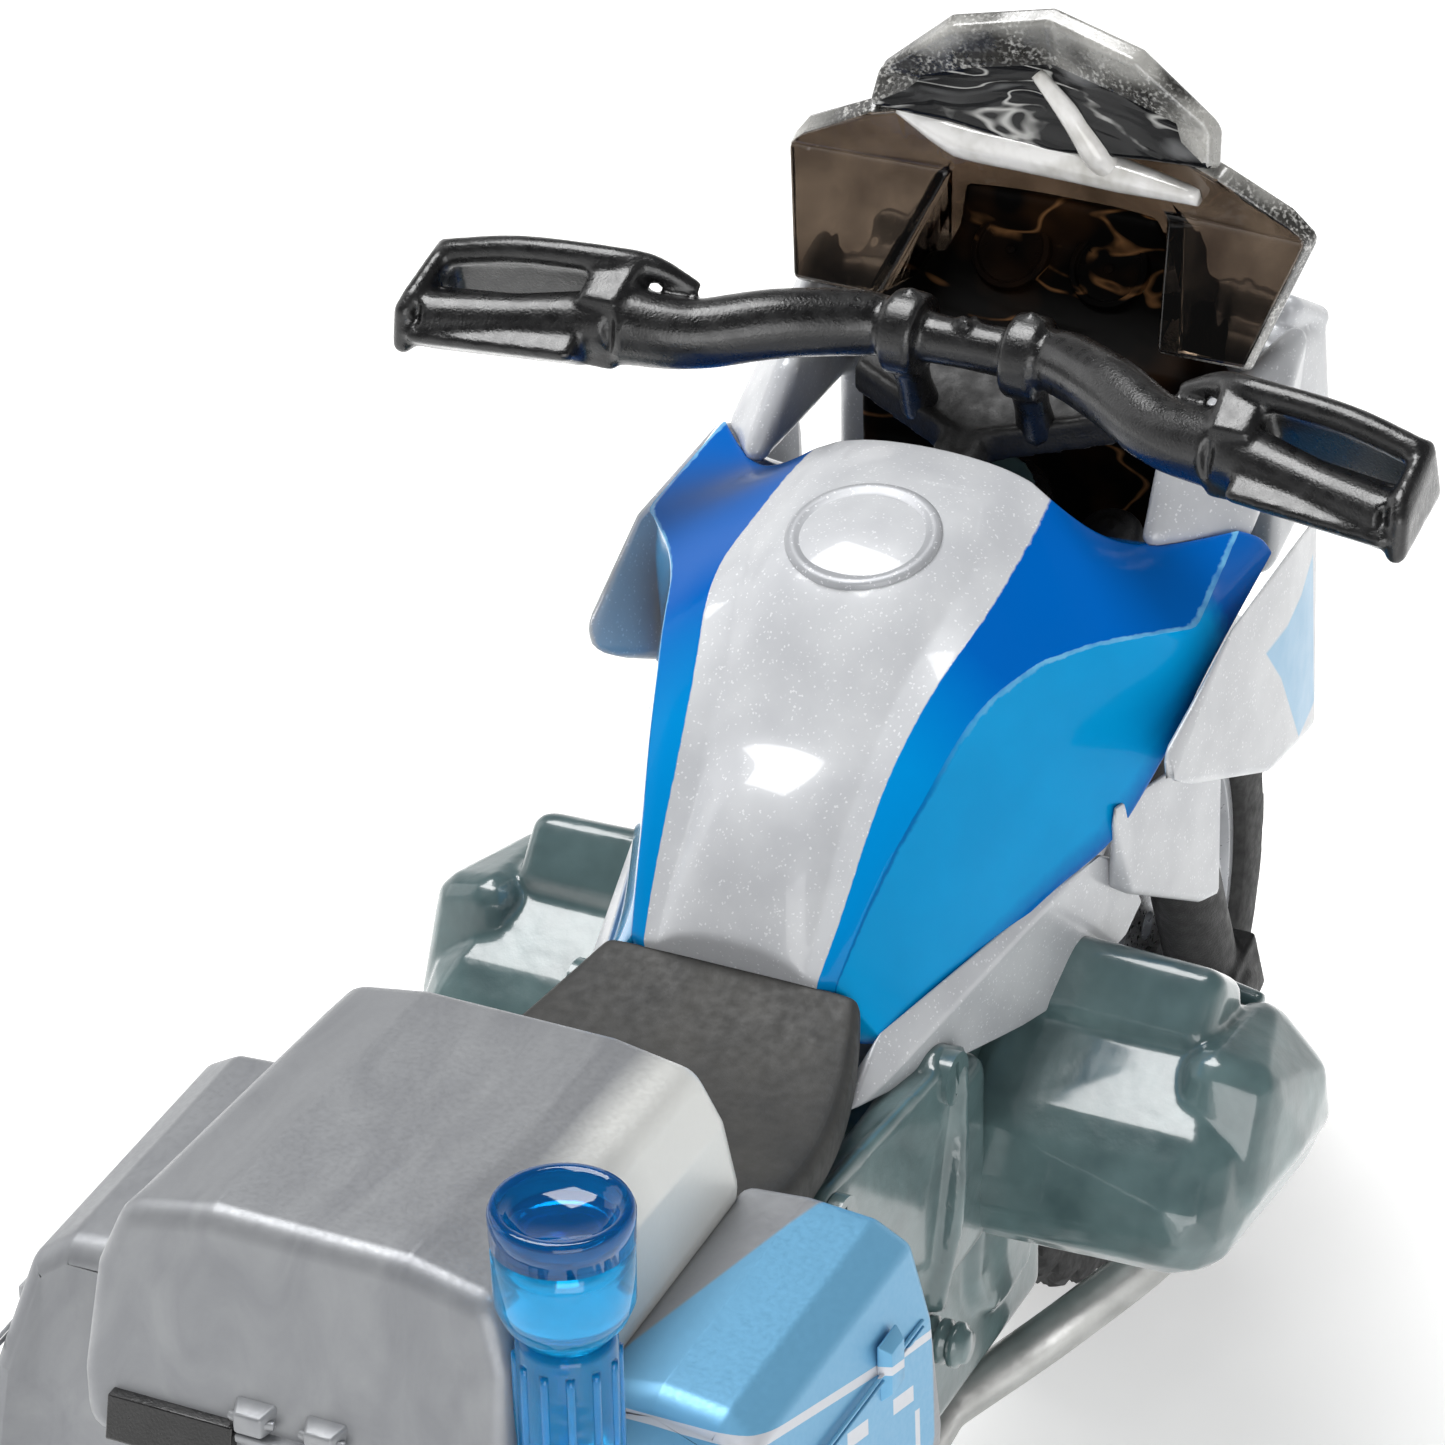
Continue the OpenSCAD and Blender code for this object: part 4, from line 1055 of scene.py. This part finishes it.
BARREL = [(2, 5.4, 16.4), (7.4, 5.4, 16.9), (6.8, 5.4, 18.6), (2.6, 5.4, 17.7), (1.9, 10.8, 16.7),
          (7.2, 11, 16.4), (7, 11, 17.8), (2.7, 10.7, 17.6), (4.7, 5.4, 18.8), (4.8, 9.9, 18.8)]
ROCKER = [(2.7, 10.6, 16.9), (7.5, 11, 16.2), (7.2, 12.1, 17.1), (6.9, 12.1, 18.3), (4, 11.9, 19.6),
          (2.9, 11.9, 17.3), (5.2, 12.2, 17.5), (3.8, 11, 19.9), (7, 11, 19.4)]
LOBE = [(4.6, 5.6, 20.6), (5.5, 5.6, 21.7), (6.6, 5.6, 20.9), (4.7, 10, 20.5), (5.6, 10, 21.5),
        (6.6, 10, 20.7), (5, 10, 19.4), (6.4, 10, 19.4)]


def make_block():
    """Engine casting with its tie rods, bolts and cooling ribs."""
    bm = bmesh.new()
    add_node(bm, "engine_casting")
    add_hull(bm, box((-3.4, 0.6), (-5, 5), (15.4, 20.6)), 0.5)
    rod = [(-1.1, 5.5, 21.9), (-2.2, 5.9, 18.4), (-3, 5.6, 15.2)]
    plate = [(-0.8, 5.4, 22.2), (-9, 5, 22.6), (-9, 5, 19.8), (-3, 5.4, 16.8), (-2.2, 5.4, 18.4)]
    rib = [(-3.6, 5.1, 17.5), (-2.9, 5.3, 17.5), (-3.4, 5.1, 13.4), (-2.7, 5.3, 13.4)]
    for side in (1, -1):
        add_tube(bm, on_side(rod, side), 0.32, 12)
        add_hull(bm, on_side(plate, side), 0.22)
        add_hull(bm, on_side(rib, side), 0.2)
        for angle in around(6):
            spot = (4.6 + 2.1 * math.cos(angle), 4.25 * side, 12.6 + 2.1 * math.sin(angle))
            add_lathe(bm, [(0, 0), (0.34, 0), (0.34, 0.3), (0.2, 0.4), (0, 0.4)],
                      axis_place(spot, (0, side, 0)), 14)
        add_lathe(bm, [(0, 0), (2.6, 0), (2.6, 0.25), (2.3, 0.5), (0, 0.6)],
                  axis_place((4.6, 4.1 * side, 12.6), (0, side, 0)), 40)
    for z in (12, 13.4, 14.8, 16.2, 17.6):
        add_hull(bm, [(9.6, -1.6, z), (9.6, 1.6, z), (8.6, -2.2, z), (8.6, 2.2, z)], 0.28)
    melt(make_piece("engine_block", bm, "enamel", "engine_casting"), 0.14, 3)


def make_cylinders():
    """Opposed cylinders with their rocker covers, each one fused casting with three fins in front."""
    for side, word in ((1, "left"), (-1, "right")):
        bm = bmesh.new()
        for points, radius in ((BARREL, 1.75), (ROCKER, 0.95), (LOBE, 0.58)):
            add_hull(bm, on_side(points, side), radius)
        for z in (17.4, 18.4, 19.4):
            fin = [(8.9, 6.2, z), (9.1, 8.4, z - 0.1), (8.9, 10.4, z - 0.3)]
            add_tube(bm, on_side(fin, side), 0.28, 12)
        melt(make_piece(word + "_cylinder_casting", bm, "enamel", word + "_cylinder"), 0.11, 7)


def make_swingarm():
    """CAD swingarm with a rib along each side."""
    bm = bmesh.new()
    add_node(bm, "swingarm")
    for side in (1, -1):
        add_tube(bm, on_side([(-8, 4, 11.1), (-13, 4.05, 11.2), (-18, 4, 11.2)], side), 0.42, 12)
    melt(make_piece("swingarm_casting", bm, "enamel", "swingarm"), 0.14, 3)


def make_foot_pegs():
    """Two ribbed pegs, one on each side."""
    profile = [(0, 0), (0.55, 0)]
    for k in range(3):
        profile += [(0.5, 0.2 + 0.4 * k), (0.64, 0.27 + 0.4 * k), (0.64, 0.46 + 0.4 * k),
                    (0.5, 0.54 + 0.4 * k)]
    profile += [(0.45, 1.5), (0, 1.55)]
    bm = bmesh.new()
    for side in (1, -1):
        add_lathe(bm, profile, axis_place((-3.5, 5.35 * side, 14.6), (0, side, 0)), 28)
    make_piece("foot_peg_pair", bm, "enamel", "foot_pegs")


def make_exhaust():
    """Header pipes that meet under the engine, and the silencer on the right."""
    bm = bmesh.new()
    header = [(7.2, 8.6, 13.2), (7.6, 8.2, 11.2), (6.2, 5.6, 8.4), (3, 3.2, 6.9)]
    for side in (1, -1):
        add_tube(bm, on_side(header, side), 0.72, 24)
    add_tube(bm, [(3, 3.2, 6.9), (-0.5, -0.2, 6.7), (-2.6, -3.9, 7), (-5.4, -6.4, 8.5)], 0.72, 24)
    add_tube(bm, [(3, -3.2, 6.9), (0.5, -3.3, 6.7), (-2.2, -3.6, 6.9)], 0.72, 24)
    melt(make_piece("exhaust_pipes", bm, "exhaust", "exhaust_header"), 0.12, 3)
    profile = [(0, 0), (0.8, 0), (0.9, 0.4), (1.6, 1.3), (1.85, 1.7), (1.9, 2.2), (1.9, 14.6), (1.95, 14.7),
               (1.95, 15.1), (1.85, 15.2), (1.8, 16.6), (1.5, 17.6), (1.4, 18.4), (1.25, 18.5), (1.15, 18.3),
               (1.1, 16.8), (0, 16.7)]
    place = axis_place((-4.6, -6.55, 8.5), (-17, -0.65, 4.35))
    make_turned("silencer", profile, place, "exhaust", "exhaust_silencer")


# ---- seat and luggage ----

def fillet(corners, radius, steps=4):
    """Closed outline with each corner rounded, and never by more than half of its shorter side."""
    outline = []
    count = len(corners)
    for i, corner in enumerate(corners):
        here = Vector(corner)
        before = Vector(corners[i - 1]) - here
        after = Vector(corners[(i + 1) % count]) - here
        angle = before.angle(after)
        cut = min(radius / math.tan(angle / 2), before.length * 0.45, after.length * 0.45)
        start = here + before.normalized() * cut
        end = here + after.normalized() * cut
        for k in range(steps + 1):
            t = k / steps
            outline.append((1 - t) ** 2 * start + 2 * t * (1 - t) * here + t ** 2 * end)
    return outline


def shrink(outline, amount):
    """Outline moved inwards by an amount."""
    middle = sum(outline, Vector((0, 0))) / len(outline)
    moved = []
    for i, point in enumerate(outline):
        along = outline[(i + 1) % len(outline)] - outline[i - 1]
        inward = Vector((-along[1], along[0])).normalized()
        if inward.dot(middle - point) < 0:
            inward = -inward
        moved.append(point + inward * amount)
    return moved


def add_rounded_box(bm, front, rear, side_radius, end_radius, steps=5, spans=8):
    """Box along X with rounded edges; front and rear are (slanted end, section) pairs.

    A section lists (y, z) corners.  A slanted end is (x at z = 0, lean in x for each millimetre of z).
    """
    one = fillet(front[1], side_radius)
    two = fillet(rear[1], side_radius)
    curve = []
    for k in range(steps + 1):
        angle = math.pi / 2 * k / steps
        curve.append((end_radius * (1 - math.cos(angle)), end_radius * (1 - math.sin(angle))))
    stations = [(0, push, inset) for push, inset in curve]
    stations += [(k / spans, 0, 0) for k in range(1, spans)]
    stations += [(1, -push, inset) for push, inset in reversed(curve)]
    rings = []
    for part, push, inset in stations:
        ring = []
        for y, z in shrink([a.lerp(b, part) for a, b in zip(one, two)], inset):
            x_front = front[0][0] + front[0][1] * z
            x_rear = rear[0][0] + rear[0][1] * z
            ring.append(bm.verts.new((x_front + (x_rear - x_front) * part - push, y, z)))
        rings.append(ring)
    add_skin(bm, rings)


def even_shading(piece):
    mod = piece.modifiers.new("shading", "WEIGHTED_NORMAL")
    mod.keep_sharp = True


def case_section(top, half):
    left = [(half - 0.25, 25.5), (half, 27), (half - 0.15, top - 2.2), (half - 0.75, top - 0.55),
            (2.6, top - 0.1)]
    return left + [(-y, z) for y, z in reversed(left)]


def make_top_case():
    bm = bmesh.new()
    add_rounded_box(bm, ((-8.9, -0.205), case_section(31.25, 5.55)),
                    ((-35.4, 0.27), case_section(31.85, 5.75)), 0.85, 0.55)
    even_shading(make_piece("top_case_shell", bm, "case", "top_case"))
    # Black block on the case's rear face: its black is painted shade of the recess there.
    ys = (1.4, 4.7)
    recess = box([-28.42], ys, [26.8]) + box([-28.68], ys, [25.75]) + box([-27.9], ys, (25.75, 26.8))
    make_panel("case_rear_recess", recess, "black", (0.08, 2), radius=0.06)
    bm = bmesh.new()
    for y in (-1, 0.9):
        foot = box([-28], (y - 0.45, y + 0.45), (26.9, 27.4))
        face = box([-28.45], (y - 0.3, y + 0.3), (26.9, 27.3))
        add_hull(bm, foot + face, 0.1)
        add_tube(bm, [(-28.25, y - 0.6, 27.1), (-28.4, y, 27.15), (-28.25, y + 0.6, 27.1)], 0.12, 10)
    add_hull(bm, box([-28.5], (-1.7, 1.2), (26.6, 26.72)) + box([-28.1], (-1.7, 1.2), [26.7]), 0.06)
    bevel(make_piece("case_latches", bm, "case"), 0.03, 2, 40)


def pannier_section(side, top):
    corners = [(5.9, 14.8), (5.3, top - 0.2), (7.2, top), (9, top - 0.15), (9.95, top - 0.75), (10.35, 23.6),
               (10.4, 20), (9.9, 15.6), (9.2, 14.8)]
    return [(y * side, z) for y, z in corners]


def make_panniers():
    """Side cases, cut off flat at the rear, with a trim line and two catches."""
    for side, word, look in ((1, "left", "case"), (-1, "right", "case_printed")):
        bm = bmesh.new()
        add_rounded_box(bm, ((-10.2, -0.14), pannier_section(side, 26.75)),
                        ((-39.5, 0.62), pannier_section(side, 26.7)), 0.45, 0.5)
        for v in bm.verts:
            v.co.x = max(v.co.x, -26.1 + 0.02 * (24 - v.co.z))
        even_shading(make_piece(word + "_pannier_shell", bm, look, word + "_pannier"))
        bm = bmesh.new()
        for z in (23.9, 24.1):
            line = [(-14.3, 10.33, z - 0.2), (-19, 10.42, z), (-24.6, 10.36, z)]
            add_tube(bm, on_side(line, side), 0.06, 8)
        for x in (-16.4, -22.6):
            foot = box((x - 0.5, x + 0.5), [10.3], (23.2, 24.8))
            face = box((x - 0.35, x + 0.35), [10.55], (23.4, 24.6))
            add_hull(bm, on_side(foot + face, side), 0.05)
        bevel(make_piece(word + "_pannier_trim", bm, look), 0.04, 2, 40)


def make_seat():
    """Moulded seat pad: crowned and rolled over at its edges."""
    rows = [(-3.45, 3.75, 25.2, 23.6), (-3.7, 3.85, 25.15, 23.2), (-5.2, 4.4, 24.7, 22.95),
            (-7.4, 5, 24.35, 22.95), (-9.6, 5.3, 24.3, 22.95), (-12.4, 5.35, 24.7, 23.2),
            (-15.4, 5.2, 25.15, 23.6), (-17, 4.9, 25.3, 23.8)]
    bm = bmesh.new()
    rings = []
    for x, half, top, low in rows:
        outline = [(0, top), (half * 0.5, top + 0.02), (half * 0.9, top), (half * 0.985, top - 0.12),
                   (half, top - 0.5), (half - 0.05, low), (half * 0.5, low), (0, low)]
        outline = outline + [(-y, z) for y, z in reversed(outline[1:-1])]
        rings.append([bm.verts.new((x, y, z)) for y, z in outline])
    add_skin(bm, rings)
    seat = make_piece("seat_pad", bm, "seat", "seat")
    bevel(seat, 0.18, 2, 50)
    subdivide(seat, 2)


def make_beacon():
    """Blue beacon on a ribbed stem at the right rear: stem, dome, cap ring and stepped reflector."""
    x = -26.6
    y = -6.75
    place = axis_place((x, y, 27.1), (0, 0, 1))
    stem = [(0, -1.65), (1.3, -1.65), (1.3, -1.2), (1.22, -1.1), (1.22, 3.6), (1.1, 3.8), (0, 3.8)]
    dome = [(0, 3.85), (1.1, 3.85), (1.2, 4), (1.5, 4.35), (1.68, 4.8), (1.7, 6.3), (1.5, 6.5), (0, 6.5)]
    ring = [(0, 6.55), (1.5, 6.55), (1.72, 6.5), (1.74, 7.25), (1.66, 7.42), (1.45, 7.42), (1.3, 7.2),
            (1, 7.02), (0, 6.98)]
    cone = [(0, 4.1), (0.9, 4.3), (1.35, 4.9), (0.9, 5.3), (1.3, 5.8), (0.9, 6.3), (0, 6.4)]
    bm = bmesh.new()
    add_lathe(bm, stem, place, 48)
    for angle in around(12):
        spot = (x + 1.2 * math.cos(angle), y + 1.2 * math.sin(angle))
        add_tube(bm, [(*spot, 26.4), (*spot, 28.4), (*spot, 30.4)], 0.12, 8)
    make_piece("beacon_stem", bm, "blue_clear", "beacon_pole")
    make_turned("beacon_dome", dome, place, "blue_clear", "beacon_lens", 48)
    make_turned("beacon_cap_ring", ring, place, "blue_deep", steps=48)
    make_turned("beacon_reflector", cone, place, "mirror", steps=40)


def make_small_parts():
    """Tail lamp, side stand and luggage rack, and the looks of the nodes that keep their CAD shape."""
    lamp = box([-28.95], (-1.7, 1.7), (22.5, 23.5)) + box([-27.4], (-1.8, 1.8), (22.3, 23.7))
    make_panel("tail_lamp", lamp, "red_clear", (0.08, 2), "tail_light", 0.1)
    bm = bmesh.new()
    add_node(bm, "side_stand")
    melt(make_piece("side_stand_leg", bm, "black", "side_stand", "side_stand"), 0.11, 3)
    bm = bmesh.new()
    add_node(bm, "luggage_rack")
    melt(make_piece("luggage_rack_bars", bm, "black", "luggage_rack"), 0.11, 2)
    node_looks = {"rear_axle": "steel", "front_axle": "steel", "chassis_screws": "enamel",
                  "stand_screw": "steel", "steering_pin": "black", "front_brake_discs": "steel",
                  "rear_brake_disc": "steel"}
    for node, look in node_looks.items():
        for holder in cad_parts[node].material_slots:
            holder.material = LOOKS[look][1]


# ---- camera, light and floor ----

def set_camera():
    """Long lens behind the right-hand side of the toy, looking down at it."""
    place = Vector((-142.7, -67.8, 128.4)) * MM
    yaw = math.radians(26)
    pitch = math.radians(31.7)
    roll = math.radians(-1.4)
    forward = Vector((math.cos(pitch) * math.cos(yaw), math.cos(pitch) * math.sin(yaw), -math.sin(pitch)))
    right = Vector((math.sin(yaw), -math.cos(yaw), 0))
    up = right.cross(forward)
    tilted_right = right * math.cos(roll) + up * math.sin(roll)
    tilted_up = up * math.cos(roll) - right * math.sin(roll)
    turn = Matrix((tilted_right, tilted_up, -forward)).transposed().to_4x4()
    data = bpy.data.cameras.new("camera")
    data.sensor_width = 36.0
    data.lens = 174.4
    data.clip_start = 0.005
    data.clip_end = 5.0
    camera = bpy.data.objects.new("camera", data)
    camera.matrix_world = Matrix.Translation(place) @ turn
    bpy.context.scene.collection.objects.link(camera)
    bpy.context.scene.camera = camera


def add_softbox(name, place, size, power):
    """Area light at a place in millimetres, aimed at the middle of the toy."""
    data = bpy.data.lights.new(name, "AREA")
    data.shape = "RECTANGLE"
    data.size = size[0] * MM
    data.size_y = size[1] * MM
    data.energy = power
    lamp = bpy.data.objects.new(name, data)
    where = Vector(place) * MM
    target = Vector((2, 0, 20)) * MM
    lamp.matrix_world = axis_place(where, where - target)
    bpy.context.scene.collection.objects.link(lamp)


def set_floor():
    """Pale floor that glows a little, so that it stays white."""
    half = 1.2
    mesh = bpy.data.meshes.new("floor")
    corners = [(-half, -half, 0), (half, -half, 0), (half, half, 0), (-half, half, 0)]
    mesh.from_pydata(corners, [], [(0, 1, 2, 3)])
    floor = bpy.data.objects.new("floor", mesh)
    bpy.context.scene.collection.objects.link(floor)
    paint = Paint("floor_white", roughness=0.75)
    paint.colour((0.92, 0.92, 0.91, 1))
    paint.shader.inputs["Emission Color"].default_value = (1, 1, 1, 1)
    paint.shader.inputs["Emission Strength"].default_value = 0.42
    mesh.materials.append(paint.mat)


def set_light():
    """Sky that darkens upwards, and three soft studio lights."""
    world = bpy.data.worlds.new("studio")
    world.use_nodes = True
    tree = world.node_tree
    back = tree.nodes["Background"]
    back.inputs["Strength"].default_value = 1.0
    place = tree.nodes.new("ShaderNodeTexCoord")
    split = tree.nodes.new("ShaderNodeSeparateXYZ")
    rise = tree.nodes.new("ShaderNodeMapRange")
    for socket, value in (("From Min", 0.05), ("From Max", 0.5), ("To Min", 0.9), ("To Max", 0.1)):
        rise.inputs[socket].default_value = value
    tree.links.new(place.outputs["Generated"], split.inputs[0])
    tree.links.new(split.outputs[2], rise.inputs["Value"])
    tree.links.new(rise.outputs["Result"], back.inputs["Color"])
    bpy.context.scene.world = world
    bpy.context.scene.view_settings.view_transform = "Standard"
    add_softbox("overhead_box", (40, 90, 330), (200, 190), 1.12)
    add_softbox("left_box", (20, 330, 190), (220, 200), 0.13)
    add_softbox("rear_box", (-300, -190, 130), (260, 220), 0.5)


set_camera()
make_tank()
make_filler_cap()
make_side_panels()
make_fairing()
make_screen()
make_cockpit()
make_headlight()
make_handlebar()
make_fork()
make_steering_head()
make_wheel("front", FRONT_HUB, 3.7, 2.35)
make_wheel("rear", REAR_HUB, 5.2, 3.1)
make_mudguards()
make_block()
make_cylinders()
make_swingarm()
make_foot_pegs()
make_exhaust()
make_seat()
make_top_case()
make_panniers()
make_beacon()
make_small_parts()
set_floor()
set_light()
